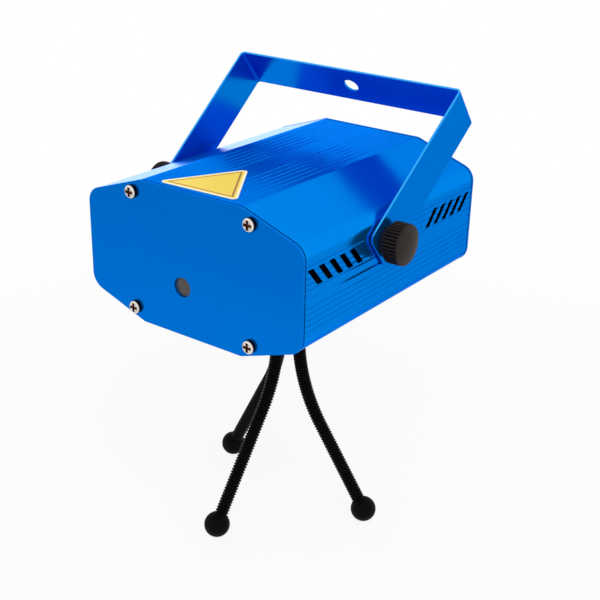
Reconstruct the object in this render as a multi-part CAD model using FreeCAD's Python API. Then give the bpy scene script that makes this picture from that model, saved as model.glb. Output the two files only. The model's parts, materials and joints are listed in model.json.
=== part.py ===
import FreeCAD, Part
import math
import os

# Clearances that several pieces share
OVERRUN = 1.0  # how far a cut passes the wall that it cuts
FIT_GAP = 0.05  # between a shaft, screw or barrel and its hole, on the radius
FACE_GAP = 0.1  # between flat faces that turn or slide past each other
LOOSE_GAP = 0.3  # around what moves freely

# Case: two extruded half shells, closed by a plate at each end
PLATE_HALF_WIDTH = 46.0
PLATE_HALF_HEIGHT = 25.7
PLATE_FLAT_HALF = 21.5  # half the flat top of the plate
PLATE_SIDE_HALF = 17.3  # half the upright side of the plate
PLATE_SIDE_RADIUS = 6.0
PLATE_TOP_RADIUS = 2.5
PLATE_THICKNESS = 0.9
PLATE_EDGE = 0.15
PLATE_LIP = 0.1  # how far the plates stand out past the shells
CASE_DEPTH = 106.4
SHELL_WALL = 1.6
SHELL_SIDE_RADIUS = 6.0
SHELL_TOP_RADIUS = 2.5
REBATE_LENGTH = 0.45  # a step round the ends of the shells, behind the plates
REBATE_DEPTH = 0.4

# Fine grooves along the shells, and the seam between them
TOP_GROOVES = 6
TOP_GROOVE_START = 5.2  # from the middle to the first groove
TOP_GROOVE_PITCH = 2.6
TOP_GROOVE_WIDTH = 0.7
TOP_GROOVE_DEPTH = 0.09
SIDE_GROOVES = 5
SIDE_GROOVE_START = 3.05  # from the seam to the first groove
SIDE_GROOVE_PITCH = 2.0
SIDE_GROOVE_WIDTH = 0.6
SIDE_GROOVE_DEPTH = 0.18
SEAM_WIDTH = 0.8
SEAM_DEPTH = 0.35
TONGUE_THICKNESS = 1.2
TONGUE_RISE = 2.0
TONGUE_ROOT = 2.5

# Slanted vent slots in the sides of the upper shell
VENT_SLOTS = 5
VENT_PITCH = 5.67
VENT_WIDTH = 2.9
VENT_TOP = 10.05
VENT_BOTTOM = 3.85
VENT_SLANT = 5.5
VENT_FRONT_START = 2.05
VENT_REAR_START = 2.8

# Screws that hold the end plates, in ports along the shells
PORT_ALONG = 5.05  # from the corner of the flat top, along the slope
PORT_INSET = 3.3  # from the plate's sloping edge
PORT_RADIUS = 2.7
PLATE_SCREW_RADIUS = 1.45
PLATE_SCREW_LENGTH = 10.0
PLATE_SCREW_HEAD_RADIUS = 2.4
PLATE_SCREW_HEAD_HEIGHT = 1.6
PLATE_SCREW_HEAD_ROUND = 0.9
RECESS_WIDTH = 1.0
RECESS_REACH = 1.65
RECESS_DEPTH = 0.8

# Aperture in the front plate, its glass and the glass retainer
APERTURE_X = -3.6
APERTURE_RISE = 16.0  # from the inside of the floor to the beam
APERTURE_RADIUS = 3.5
WINDOW_RADIUS = 5.0
WINDOW_THICKNESS = 1.0
RETAINER_WALL = 1.8
RETAINER_LIP = 1.2
RETAINER_BACK = 0.9

# Triangular patch on top
LABEL_SIDE = 32.7
LABEL_X = -0.3  # the middle of the patch
LABEL_Y = 12.9
LABEL_TURN = 2.8  # degrees, as it was stuck on
LABEL_ROUND = 1.6
LABEL_THICKNESS = 0.15

# Yoke: a bent strip that tilts about the studs of the two thumb knobs
PIVOT_Y = 45.2
PIVOT_Z = 7.9
YOKE_LEAN = 51.4  # degrees back from upright
YOKE_REACH = 58.7  # from the pivot to the inside of the bar
YOKE_WIDTH = 16.8
YOKE_THICKNESS = 0.8
YOKE_SPLAY = 1.45  # how much wider each arm stands at the bar than at the pivot
YOKE_GAP = 0.15  # between an arm and the insert's flange
YOKE_BEND_RADIUS = 1.8
YOKE_TAIL = 6.1  # from the pivot to the end of an arm
YOKE_CORNER = 2.5
YOKE_EDGE = 0.2
YOKE_HOLE_RADIUS = 3.0

# Threaded side inserts, thumb knobs, their studs and spacers
INSERT_FLANGE_RADIUS = 5.0
INSERT_FLANGE = 0.4
INSERT_RADIUS = 3.2
INSERT_LENGTH = 9.0
STUD_RADIUS = 2.0
STUD_REACH = 7.0
STUD_GRIP = 4.6
STUD_HEAD_RADIUS = 3.4
STUD_HEAD = 1.6
SPACER_RADIUS = 5.2
SPACER_THICKNESS = 2.0
SPACER_GAP = 0.25  # clear of the leaning arm
KNOB_RADIUS = 7.2
KNOB_LENGTH = 6.5
KNOB_DOME = 0.8
KNOB_EDGE = 0.7
KNOB_RIBS = 36
KNOB_FLUTE_RADIUS = 0.4
FLUTE_OUT_SHARE = 0.33  # of a flute's radius, how far its middle lies outside the rim

# Tripod: insert in the floor of the case, stud, pad and head
TRIPOD_INSERT_RADIUS = 5.0
TRIPOD_INSERT_GAP = 0.75  # below the green laser
TRIPOD_FLANGE_RADIUS = 7.5
TRIPOD_STUD_RADIUS = 3.175
TRIPOD_STUD_SHORT = 3.6  # from the stud's end to the insert's
TRIPOD_STUD_ROOT = 8.0
PAD_RADIUS = 8.5
PAD_THICKNESS = 1.5
HEAD_RADIUS = 10.0
HEAD_NECK_RADIUS = 8.5
HEAD_NECK = 5.0
HEAD_TAPER = 3.0
HEAD_HEIGHT = 16.2
HEAD_EDGE = 0.8

# Gooseneck legs: ribbed sleeves over core wires, with ball feet
SOCKET_CIRCLE = 5.0  # from the tripod's axis to each leg's root
SOCKET_DEPTH = 6.0
SOCKET_TURN = -91.0  # degrees, where the first leg leaves the head
LEG_TURNS = (-94.3, 4.8, 164.0)  # degrees, where each leg points
LEG_BENDS = (32.5, 33.2, 31.2)  # degrees from upright at the foot
LEG_BEND_RADII = (51.1, 65.0, 47.7)
LEG_DROP = 66.8  # from the head to the middle of a foot
LEG_CREST_RADIUS = 2.5
LEG_VALLEY_RADIUS = 2.15
RIB_PITCH = 1.1
RIB_PLACE_SHARES = (0.0, 0.22, 0.6, 0.82)  # of the pitch: valley, crest, crest, valley
LEG_BORE_RADIUS = 1.3
CORE_RADIUS = 1.2
FOOT_RADIUS = 4.9
FOOT_SOCKET = 3.3  # from the middle of the ball to the sleeve's seat
FOOT_CORE_REACH = 2.0

# Chassis tray on the floor of the case
TRAY_CLEAR = 2.4  # from the tray's side to the end of the flat floor
TRAY_FRONT = 4.0
TRAY_BACK = 14.0  # from the rear face to the tray
TRAY_THICKNESS = 1.5
TRAY_ROUND = 2.0
TRAY_SCREW_INSET = 3.5
TRAY_SCREW_RADIUS = 1.25
TRAY_SCREW_HEAD_RADIUS = 2.4
TRAY_SCREW_HEAD = 1.1

# Grating: a glass disc in a ring gear that turns in a bracket
GEAR_MODULE = 0.5
GEAR_TEETH = 48
PINION_TEETH = 12
GEAR_ADDENDUM_SHARE = 0.85
GEAR_DEDENDUM_SHARE = 1.25
TOOTH_ROOT_SHARES = (0.27, 0.11)  # half a tooth at its root and tip, of the tooth pitch
GEAR_FRONT = 5.5
GEAR_FACE = 3.0
GEAR_BORE_RADIUS = 6.0
GEAR_SLEEVE_RADIUS = 8.0
GEAR_CATCH = 0.5
GEAR_CATCH_FACE = 0.6
DISC_RADIUS = 7.0
DISC_THICKNESS = 0.8
BRACKET_THICKNESS = 2.0
BRACKET_HALF_WIDTH = 13.0
BRACKET_FOOT = 3.4
BRACKET_RISE = 9.0  # from the motor's axis to the bracket's top
BRACKET_ROUND = 3.0

# Motor that drives the ring gear
MOTOR_TURN = 60.0  # degrees around the ring gear
MOTOR_RADIUS = 5.0
MOTOR_LENGTH = 15.0
MOTOR_BOSS_RADIUS = 1.6
MOTOR_CAP = 2.0
MOTOR_CAP_RADIUS = 4.3
PINION_SHAFT_RADIUS = 0.75
PINION_SHAFT_REACH = 3.0

# Laser modules, their blocks and the beam combiner
GREEN_START = 32.0
GREEN_LENGTH = 34.0
GREEN_RADIUS = 6.0
GREEN_NOSE = 4.0
GREEN_NOSE_RADIUS = 4.5
GREEN_BLOCK_LENGTH = 8.0
GREEN_BLOCK_GAP = 1.15  # in front of the tripod insert's flange
BLOCK_WALL = 3.0
BEAM_RADIUS = 1.5
COMBINER_Y = 22.0
RED_START = 6.0
RED_LENGTH = 25.0
RED_RADIUS = 4.5
RED_BLOCK_START = 8.5
RED_BLOCK_LENGTH = 9.5
COMBINER_LENGTH = 11.0
COMBINER_HEIGHT = 10.0
COMBINER_THICKNESS = 1.0
COMBINER_TURN = -45.0  # degrees
HOLDER_SIZE = 9.0
HOLDER_GRIP = 1.5

# Circuit board on standoffs, higher than the lasers and in front of the fan
BOARD_SIDE_INSET = 1.5  # from the tray's side to the board's
BOARD_FAN_GAP = 4.0
BOARD_CLEAR = 1.0  # above the green laser's block
BOARD_LENGTH = 28.0
BOARD_THICKNESS = 1.6
BOARD_HOLE_INSET = 2.6
STANDOFF_RADIUS = 2.2
BOARD_SCREW_RADIUS = 1.0
BOARD_SCREW_HEAD_RADIUS = 1.9
BOARD_SCREW_HEAD = 1.2
BOARD_SCREW_LENGTH = 5.0
CAPACITOR_RADIUS = 3.0
CAPACITOR_HEIGHT = 7.0
CAPACITOR_EDGE = 0.5
CHIP_SIZE = 7.0
CHIP_HEIGHT = 1.6
CHIP_PITCH = 8.4
TERMINAL_LENGTH = 9.0
TERMINAL_WIDTH = 4.0
TERMINAL_HEIGHT = 5.0
TERMINAL_PITCH = 10.8

# Fan behind a pattern of holes in the rear plate
FAN_PLACE_SHARE = 0.435  # of the plate's half width, to the left
FAN_SIZE = 30.0
FAN_DEPTH = 10.0
FAN_WALL = 1.0
FAN_ROUND = 2.5
FAN_SCREW_INSET = 3.0
FAN_SCREW_RADIUS = 1.3
FAN_SCREW_HEAD_RADIUS = 2.4
FAN_SCREW_HEAD = 1.3
FAN_SCREW_LENGTH = 8.0
FAN_HUB_RADIUS = 6.5
FAN_SPIDER = 1.6
FAN_SPIDER_ARMS = 3
FAN_BLADES = 7
FAN_BLADE_THICKNESS = 0.9
FAN_BLADE_LEAN = 38.0  # degrees
FAN_TIP_GAP = 0.7
FAN_SHAFT_RADIUS = 1.0
FAN_HOLE_RADIUS = 1.7
FAN_RING_SHARES = (0.0, 0.336, 0.671)  # of the fan's bore
FAN_RING_HOLES = (1, 6, 12)

# Controls on the rear plate
CONTROL_SHARES = (0.28, 0.67)  # of the plate's half width: inner and outer controls
POT_Z = 9.0
POT_RADIUS = 6.5
POT_DEPTH = 7.0
POT_NECK_RADIUS = 3.5
POT_NECK = 4.0  # past the rear face
POT_SHAFT_RADIUS = 2.0
POT_NUT_RADIUS = 5.2
POT_NUT = 2.0
SPEED_KNOB_RADIUS = 6.0
SPEED_KNOB_LENGTH = 8.0
SPEED_KNOB_START = 4.5  # from the rear face
SPEED_KNOB_RIBS = 18
SPEED_KNOB_FLUTE_RADIUS = 0.5
SPEED_KNOB_EDGE = 0.6
POINTER_WIDTH = 0.8
POINTER_DEPTH = 0.4
JACK_Z = -10.5
JACK_RADIUS = 5.0
JACK_DEPTH = 13.0
JACK_NECK_RADIUS = 4.0
JACK_NECK = 3.5
JACK_BORE_RADIUS = 2.85
JACK_BORE = 9.5
JACK_PIN_RADIUS = 1.0
JACK_PIN_SETBACK = 1.0
JACK_NUT_RADIUS = 6.0
JACK_NUT = 2.0
SWITCH_Z = 7.0
SWITCH_LENGTH = 13.0
SWITCH_HEIGHT = 6.0
SWITCH_DEPTH = 6.5
SWITCH_TRAVEL = 2.0  # each way from the middle
SWITCH_WALL = 1.2
LEVER_LENGTH = 3.0
LEVER_HEIGHT = 2.6
LEVER_RISE = 3.0
LEVER_FOOT = 2.5
LEVER_FOOT_SPREAD = 1.0
MIC_Z = -8.0
MIC_RADIUS = 3.0
MIC_DEPTH = 4.5
MIC_HOLE_RADIUS = 1.0

# Places that follow from the sizes above
SHELL_HALF_WIDTH = PLATE_HALF_WIDTH - PLATE_LIP
SHELL_HALF_HEIGHT = PLATE_HALF_HEIGHT - PLATE_LIP
SHELL_FRONT = PLATE_THICKNESS
SHELL_BACK = CASE_DEPTH - PLATE_THICKNESS
FLOOR = SHELL_WALL - SHELL_HALF_HEIGHT
APERTURE_Z = FLOOR + APERTURE_RISE
TRAY_TOP = FLOOR + TRAY_THICKNESS
TRAY_HALF_WIDTH = PLATE_FLAT_HALF - TRAY_CLEAR
TRIPOD_Y = CASE_DEPTH / 2
TRIPOD_INSERT_TOP = APERTURE_Z - GREEN_RADIUS - TRIPOD_INSERT_GAP
HEAD_TOP = -SHELL_HALF_HEIGHT - FACE_GAP - PAD_THICKNESS
HEAD_BOTTOM = HEAD_TOP - HEAD_HEIGHT
FOOT_Z = HEAD_BOTTOM - LEG_DROP
ARM_INSIDE = SHELL_HALF_WIDTH + INSERT_FLANGE + YOKE_GAP
ARM_OUTSIDE = ARM_INSIDE + YOKE_THICKNESS
SPACER_INSIDE = ARM_OUTSIDE + SPACER_GAP
KNOB_INSIDE = SPACER_INSIDE + SPACER_THICKNESS + FACE_GAP
GEAR_RADIUS = GEAR_MODULE * GEAR_TEETH / 2
PINION_RADIUS = GEAR_MODULE * PINION_TEETH / 2
MOTOR_X = APERTURE_X + (GEAR_RADIUS + PINION_RADIUS) * math.cos(math.radians(MOTOR_TURN))
MOTOR_Z = APERTURE_Z + (GEAR_RADIUS + PINION_RADIUS) * math.sin(math.radians(MOTOR_TURN))
BRACKET_FRONT = GEAR_FRONT + GEAR_FACE + LOOSE_GAP
BRACKET_BACK = BRACKET_FRONT + BRACKET_THICKNESS
GREEN_BLOCK_BACK = TRIPOD_Y - TRIPOD_FLANGE_RADIUS - GREEN_BLOCK_GAP
FAN_X = -PLATE_HALF_WIDTH * FAN_PLACE_SHARE
FAN_BORE_RADIUS = FAN_SIZE / 2 - FAN_WALL
POT_X = PLATE_HALF_WIDTH * CONTROL_SHARES[0]
JACK_X = POT_X
SWITCH_X = PLATE_HALF_WIDTH * CONTROL_SHARES[1]
MIC_X = SWITCH_X
BOARD_HALF_WIDTH = TRAY_HALF_WIDTH - BOARD_SIDE_INSET
BOARD_BACK = SHELL_BACK - FAN_DEPTH - BOARD_FAN_GAP
BOARD_FRONT = BOARD_BACK - BOARD_LENGTH
BOARD_BOTTOM = APERTURE_Z + GREEN_RADIUS + BLOCK_WALL + BOARD_CLEAR
BOARD_TOP = BOARD_BOTTOM + BOARD_THICKNESS
FRONT_REACH = PLATE_SCREW_HEAD_HEIGHT
BACK_REACH = CASE_DEPTH + SPEED_KNOB_START + SPEED_KNOB_LENGTH

# The part's origin: on the ground, below the middle of the whole
TO_ORIGIN = FreeCAD.Vector(0, (FRONT_REACH - BACK_REACH) / 2, FOOT_RADIUS - FOOT_Z)

UNIT_X = FreeCAD.Vector(1, 0, 0)
UNIT_Y = FreeCAD.Vector(0, 1, 0)
UNIT_Z = FreeCAD.Vector(0, 0, 1)
NOWHERE = FreeCAD.Vector(0, 0, 0)


def at(x, y, z):
    """A point of the case, with the front face at y = 0 and the middle of the plate at z = 0."""
    return FreeCAD.Vector(x, y, z)


def save(node, *solids):
    """Writes one node, moved to the part's origin."""
    shape = solids[0]
    if len(solids) > 1:
        shape = Part.makeCompound(list(solids))
    shape = shape.copy()
    shape.translate(TO_ORIGIN)
    shape.exportStep("parts/" + node + ".step")


def block(x0, x1, y0, y1, z0, z1):
    """A box between two corners."""
    return Part.makeBox(x1 - x0, y1 - y0, z1 - z0, at(x0, y0, z0))


def rod(radius, start, end):
    """A round bar between two points."""
    way = end - start
    return Part.makeCylinder(radius, way.Length, start, way)


def tube(radius, bore, start, end):
    """A round bar with a hole right through."""
    way = end - start
    way.normalize()
    drill = rod(bore, start - way * OVERRUN, end + way * OVERRUN)
    return rod(radius, start, end).cut(drill)


def rounded_face(points, radii, place):
    """A flat face with its corners rounded; place turns each pair into a point in space."""
    edges = []
    last = None
    first = None
    count = len(points)
    for index in range(count):
        corner = place(*points[index])
        back = place(*points[index - 1]) - corner
        ahead = place(*points[(index + 1) % count]) - corner
        back.normalize()
        ahead.normalize()
        half = back.getAngle(ahead) / 2
        radius = radii[index]
        enter = corner + back * (radius / math.tan(half))
        leave = corner + ahead * (radius / math.tan(half))
        if last is None:
            first = enter
        else:
            edges.append(Part.LineSegment(last, enter).toShape())
        if radius > 0:
            inward = back + ahead
            inward.normalize()
            crown = corner + inward * (radius / math.sin(half) - radius)
            edges.append(Part.Arc(enter, crown, leave).toShape())
        last = leave
    edges.append(Part.LineSegment(last, first).toShape())
    return Part.Face(Part.Wire(edges))


def prism_x(points, radii, x0, x1):
    """An outline in (y, z), carried from x0 to x1."""
    face = rounded_face(points, radii, lambda y, z: at(x0, y, z))
    return face.extrude(UNIT_X * (x1 - x0))


def prism_y(points, radii, y0, y1):
    """An outline in (x, z), carried from y0 to y1."""
    face = rounded_face(points, radii, lambda x, z: at(x, y0, z))
    return face.extrude(UNIT_Y * (y1 - y0))


def prism_z(points, radii, z0, z1):
    """An outline in (x, y), carried from z0 to z1."""
    face = rounded_face(points, radii, lambda x, y: at(x, y, z0))
    return face.extrude(UNIT_Z * (z1 - z0))


def rectangle(x0, x1, z0, z1):
    """Four corners in order."""
    return [(x0, z0), (x1, z0), (x1, z1), (x0, z1)]


def ring(count, radius, turn=0.0):
    """Points spread evenly on a circle about zero, from an angle in degrees."""
    angles = [math.radians(turn + 360.0 * step / count) for step in range(count)]
    return [(radius * math.cos(angle), radius * math.sin(angle)) for angle in angles]


def around(points, x, z):
    """Moves flat points so that their middle is at (x, z)."""
    return [(x + u, z + w) for u, w in points]


def sharp(points):
    """Corner radii of an outline with no rounding."""
    return [0] * len(points)


def aimed(shape, point, way):
    """Turns a shape made along +Z to point along way, with its zero at point."""
    moved = shape.copy()
    moved.Placement = FreeCAD.Placement(point, FreeCAD.Rotation(UNIT_Z, way))
    return moved


def turned(radius, length, edge):
    """A bar along +Z from zero, with its far edge rounded."""
    bar = Part.makeCylinder(radius, length)
    far = [side for side in bar.Edges if side.BoundBox.ZMin > length / 2]
    return bar.makeFillet(edge, far)


def cross_screw(shank, length, head_radius, head_height, head_round):
    """A pan-head screw with a cross recess: shank along +Z from zero, head below zero."""
    head = turned(head_radius, head_height, head_round)
    head.rotate(NOWHERE, UNIT_X, 180.0)
    screw = head.fuse(Part.makeCylinder(shank, length))
    slots = []
    reach = RECESS_REACH * head_radius / PLATE_SCREW_HEAD_RADIUS
    depth = RECESS_DEPTH * head_height / PLATE_SCREW_HEAD_HEIGHT
    half = RECESS_WIDTH * head_radius / PLATE_SCREW_HEAD_RADIUS / 2
    bottom = depth - head_height
    slots.append(block(-reach, reach, -half, half, -head_height - OVERRUN, bottom))
    slots.append(block(-half, half, -reach, reach, -head_height - OVERRUN, bottom))
    return screw.cut(slots)


def hex_nut(radius, thickness, bore, point, way):
    """A six-sided nut that starts at a point and runs along way."""
    corners = ring(6, radius)
    body = prism_z(corners, sharp(corners), 0, thickness)
    body = body.cut(Part.makeCylinder(bore, thickness + OVERRUN * 2, at(0, 0, -OVERRUN)))
    return aimed(body, point, way)


def case_slope():
    """Unit lengths of the way out of the case's upper right slope, as (across, upward)."""
    rise = PLATE_HALF_HEIGHT - PLATE_SIDE_HALF
    run = PLATE_HALF_WIDTH - PLATE_FLAT_HALF
    slope = math.hypot(rise, run)
    return rise / slope, run / slope


def case_points(inset):
    """The eight corners of the case's outline, moved inwards by an inset."""
    across, upward = case_slope()
    reach = across * PLATE_FLAT_HALF + upward * PLATE_HALF_HEIGHT - inset
    top = PLATE_HALF_HEIGHT - inset
    side = PLATE_HALF_WIDTH - inset
    flat = (reach - upward * top) / across
    shoulder = (reach - across * side) / upward
    right = [(flat, top), (side, shoulder), (side, -shoulder), (flat, -top)]
    left = [(-x, z) for x, z in reversed(right)]
    return right + left


def case_prism(inset, top_radius, side_radius, y0, y1):
    """The case's outline, carried from y0 to y1."""
    radii = [top_radius, side_radius, side_radius, top_radius] * 2
    return prism_y(case_points(inset), radii, y0, y1)


def port_places():
    """The four screw ports, one inside each slope, as (x, z)."""
    across, upward = case_slope()
    x = PLATE_FLAT_HALF + upward * PORT_ALONG - across * PORT_INSET
    z = PLATE_HALF_HEIGHT - across * PORT_ALONG - upward * PORT_INSET
    return [(side * x, end * z) for side in (-1, 1) for end in (-1, 1)]


def groove(x, z, out_x, out_z, width, depth):
    """A V-shaped cut along the shells, from a point on their skin; out points away from the metal."""
    side_x = out_z * width / 2
    side_z = out_x * width / 2
    points = [(x - side_x, z - side_z), (x - out_x * depth, z - out_z * depth), (x + side_x, z + side_z)]
    points.append((x + side_x + out_x * OVERRUN, z + side_z + out_z * OVERRUN))
    points.append((x - side_x + out_x * OVERRUN, z - side_z + out_z * OVERRUN))
    return prism_y(points, sharp(points), SHELL_FRONT - OVERRUN, SHELL_BACK + OVERRUN)


def grooves():
    """All the grooves of both shells, with the seam along each side."""
    cuts = []
    for sign in (-1, 1):
        for step in range(TOP_GROOVES):
            x = sign * (TOP_GROOVE_START + step * TOP_GROOVE_PITCH)
            for end in (-1, 1):
                cuts.append(groove(x, end * SHELL_HALF_HEIGHT, 0, end, TOP_GROOVE_WIDTH, TOP_GROOVE_DEPTH))
        for step in range(SIDE_GROOVES):
            z = SIDE_GROOVE_START + step * SIDE_GROOVE_PITCH
            for end in (-1, 1):
                x = sign * SHELL_HALF_WIDTH
                cuts.append(groove(x, end * z, sign, 0, SIDE_GROOVE_WIDTH, SIDE_GROOVE_DEPTH))
        cuts.append(groove(sign * SHELL_HALF_WIDTH, 0, sign, 0, SEAM_WIDTH, SEAM_DEPTH))
    return cuts


def vents():
    """Slanted slots near the front and, slanted the other way, near the back."""
    cuts = []
    for step in range(VENT_SLOTS):
        front = VENT_FRONT_START + step * VENT_PITCH
        back = CASE_DEPTH - VENT_REAR_START - step * VENT_PITCH
        for start, way in ((front, 1), (back, -1)):
            top = [(start, VENT_TOP), (start + way * VENT_WIDTH, VENT_TOP)]
            low = start + way * VENT_SLANT
            bottom = [(low + way * VENT_WIDTH, VENT_BOTTOM), (low, VENT_BOTTOM)]
            slot = top + bottom
            cuts.append(prism_x(slot, sharp(slot), -SHELL_HALF_WIDTH - OVERRUN, SHELL_HALF_WIDTH + OVERRUN))
    return cuts


def rebates():
    """Rings to cut from the shells' outside behind each plate, which leave a step all round."""
    inset = PLATE_LIP + REBATE_DEPTH
    rings = []
    for start in (SHELL_FRONT, SHELL_BACK - REBATE_LENGTH):
        end = start + REBATE_LENGTH
        outside = case_prism(-OVERRUN, PLATE_TOP_RADIUS, PLATE_SIDE_RADIUS, start, end)
        rings.append(outside.cut(case_prism(inset, SHELL_TOP_RADIUS, SHELL_SIDE_RADIUS, start, end)))
    return rings


def make_shells():
    """Upper and lower half shell: one extruded section, split at the seam, with a step behind each plate."""
    inner_top = SHELL_TOP_RADIUS - SHELL_WALL
    inner_side = SHELL_SIDE_RADIUS - SHELL_WALL
    whole = case_prism(PLATE_LIP, SHELL_TOP_RADIUS, SHELL_SIDE_RADIUS, SHELL_FRONT, SHELL_BACK)
    inset = PLATE_LIP + SHELL_WALL
    hollow = case_prism(inset, inner_top, inner_side, SHELL_FRONT - OVERRUN, SHELL_BACK + OVERRUN)
    section = whole.cut(hollow)
    ports = [rod(PORT_RADIUS, at(x, SHELL_FRONT, z), at(x, SHELL_BACK, z)) for x, z in port_places()]
    section = section.fuse([port.common(whole) for port in ports])
    bores = []
    for x, z in port_places():
        start = at(x, SHELL_FRONT - OVERRUN, z)
        bores.append(rod(PLATE_SCREW_RADIUS + FIT_GAP, start, at(x, SHELL_BACK + OVERRUN, z)))
    section = section.cut(bores + grooves() + rebates())
    reach = PLATE_HALF_WIDTH + OVERRUN
    height = PLATE_HALF_HEIGHT + OVERRUN
    upper = section.common(block(-reach, reach, 0, CASE_DEPTH, 0, height))
    lower = section.common(block(-reach, reach, 0, CASE_DEPTH, -height, 0))
    inside = SHELL_HALF_WIDTH - SHELL_WALL
    for sign in (-1, 1):
        near = sign * (inside - FACE_GAP - TONGUE_THICKNESS)
        far = sign * (inside - FACE_GAP)
        wall = sign * (inside + FACE_GAP)
        tongue = block(min(near, far), max(near, far), SHELL_FRONT, SHELL_BACK, -TONGUE_ROOT, TONGUE_RISE)
        root = block(min(near, wall), max(near, wall), SHELL_FRONT, SHELL_BACK, -TONGUE_ROOT, -FACE_GAP)
        lower = lower.fuse([tongue, root])
    sockets = []
    for sign in (-1, 1):
        start = at(sign * (inside - OVERRUN), PIVOT_Y, PIVOT_Z)
        end = at(sign * (SHELL_HALF_WIDTH + OVERRUN), PIVOT_Y, PIVOT_Z)
        sockets.append(rod(INSERT_RADIUS + FIT_GAP, start, end))
    upper = upper.cut(vents() + sockets)
    cuts = [rod(TRIPOD_INSERT_RADIUS + FIT_GAP, at(0, TRIPOD_Y, -height), at(0, TRIPOD_Y, FLOOR + OVERRUN))]
    for x, y in tray_screw_places():
        cuts.append(tray_screw(x, y, FIT_GAP))
    lower = lower.cut(cuts)
    save("upper_shell", upper.removeSplitter())
    save("lower_shell", lower.removeSplitter())


def end_plate(y0, y1):
    """A plate with the case's outline, from y0 to y1, with its edges eased."""
    plate = case_prism(0, PLATE_TOP_RADIUS, PLATE_SIDE_RADIUS, y0, y1)
    rims = [side for side in plate.Edges if side.BoundBox.YLength < PLATE_THICKNESS / 2]
    return plate.makeFillet(PLATE_EDGE, rims)


def make_front_plate():
    """Front plate with its screw holes and aperture."""
    plate = end_plate(0, PLATE_THICKNESS)
    drills = [(PLATE_SCREW_RADIUS + FIT_GAP, x, z) for x, z in port_places()]
    drills.append((APERTURE_RADIUS, APERTURE_X, APERTURE_Z))
    back = PLATE_THICKNESS + OVERRUN
    holes = [rod(radius, at(x, -OVERRUN, z), at(x, back, z)) for radius, x, z in drills]
    save("front_plate", plate.cut(holes))


def make_plate_screws():
    """Four screws in each end plate."""
    screw = cross_screw(PLATE_SCREW_RADIUS, PLATE_SCREW_LENGTH, PLATE_SCREW_HEAD_RADIUS,
                        PLATE_SCREW_HEAD_HEIGHT, PLATE_SCREW_HEAD_ROUND)
    save("front_plate_screws", *[aimed(screw, at(x, 0, z), UNIT_Y) for x, z in port_places()])
    save("rear_plate_screws", *[aimed(screw, at(x, CASE_DEPTH, z), -UNIT_Y) for x, z in port_places()])


def make_aperture():
    """Glass behind the aperture, held by a cupped ring."""
    back = PLATE_THICKNESS + WINDOW_THICKNESS
    end = back + RETAINER_BACK
    face = at(APERTURE_X, PLATE_THICKNESS, APERTURE_Z)
    glass = rod(WINDOW_RADIUS, face, at(APERTURE_X, back, APERTURE_Z))
    bore = WINDOW_RADIUS - RETAINER_LIP
    cup = tube(WINDOW_RADIUS + RETAINER_WALL, bore, face, at(APERTURE_X, end, APERTURE_Z))
    seat = rod(WINDOW_RADIUS + FIT_GAP, face, at(APERTURE_X, back, APERTURE_Z))
    save("aperture_glass", glass)
    save("glass_retainer", cup.cut(seat))


def make_label():
    """Triangular patch on the top, one edge near the front."""
    corners = ring(3, LABEL_SIDE / math.sqrt(3.0), LABEL_TURN + 90.0)
    points = around(corners, LABEL_X, LABEL_Y)
    patch = prism_z(points, [LABEL_ROUND] * 3, SHELL_HALF_HEIGHT, SHELL_HALF_HEIGHT + LABEL_THICKNESS)
    save("top_label", patch)


def make_yoke():
    """Strip bent twice, with rounded corners below the pivots and a hole in its bar."""
    low = -YOKE_TAIL
    half = YOKE_WIDTH / 2
    slant = YOKE_SPLAY / YOKE_REACH
    top = YOKE_REACH + YOKE_THICKNESS
    outer = [(ARM_OUTSIDE + slant * low, low), (ARM_OUTSIDE + slant * top, top)]
    inner = [(ARM_INSIDE + slant * YOKE_REACH, YOKE_REACH), (ARM_INSIDE + slant * low, low)]
    points = outer + [(-x, z) for x, z in reversed(outer)]
    points += [(-x, z) for x, z in reversed(inner)] + inner
    bend = YOKE_BEND_RADIUS
    inside_bend = bend - YOKE_THICKNESS
    radii = [0, bend, bend, 0, 0, inside_bend, inside_bend, 0]
    strip = prism_y(points, radii, -half, half)
    reach = ARM_OUTSIDE + YOKE_SPLAY + OVERRUN
    ends = [(-half, low), (half, low), (half, top + OVERRUN), (-half, top + OVERRUN)]
    strip = strip.common(prism_x(ends, [YOKE_CORNER, YOKE_CORNER, 0, 0], -reach, reach))
    rims = [side for side in strip.Edges if side.BoundBox.YMin > half - FIT_GAP or side.BoundBox.YMax < FIT_GAP - half]
    strip = strip.makeFillet(YOKE_EDGE, rims)
    pivot = rod(STUD_RADIUS + FIT_GAP, at(-reach, 0, 0), at(reach, 0, 0))
    hole = rod(YOKE_HOLE_RADIUS, at(0, 0, YOKE_REACH - OVERRUN), at(0, 0, top + OVERRUN))
    strip = strip.cut([pivot, hole])
    strip.rotate(NOWHERE, UNIT_X, -YOKE_LEAN)
    strip.translate(at(0, PIVOT_Y, PIVOT_Z))
    save("yoke", strip)


def fluted_knob(radius, length, dome, edge, flutes, flute_radius):
    """A knob along +Z from zero: a domed end, and flutes along its rim."""
    lens = (radius * radius + dome * dome) / (dome * 2)
    knob = turned(radius, length, edge)
    cap = Part.makeSphere(lens, at(0, 0, length - lens))
    knob = knob.common(cap)
    cuts = []
    for x, y in ring(flutes, radius + flute_radius * FLUTE_OUT_SHARE):
        cuts.append(rod(flute_radius, at(x, y, -OVERRUN), at(x, y, length - edge - dome)))
    return knob.cut(cuts)


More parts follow.
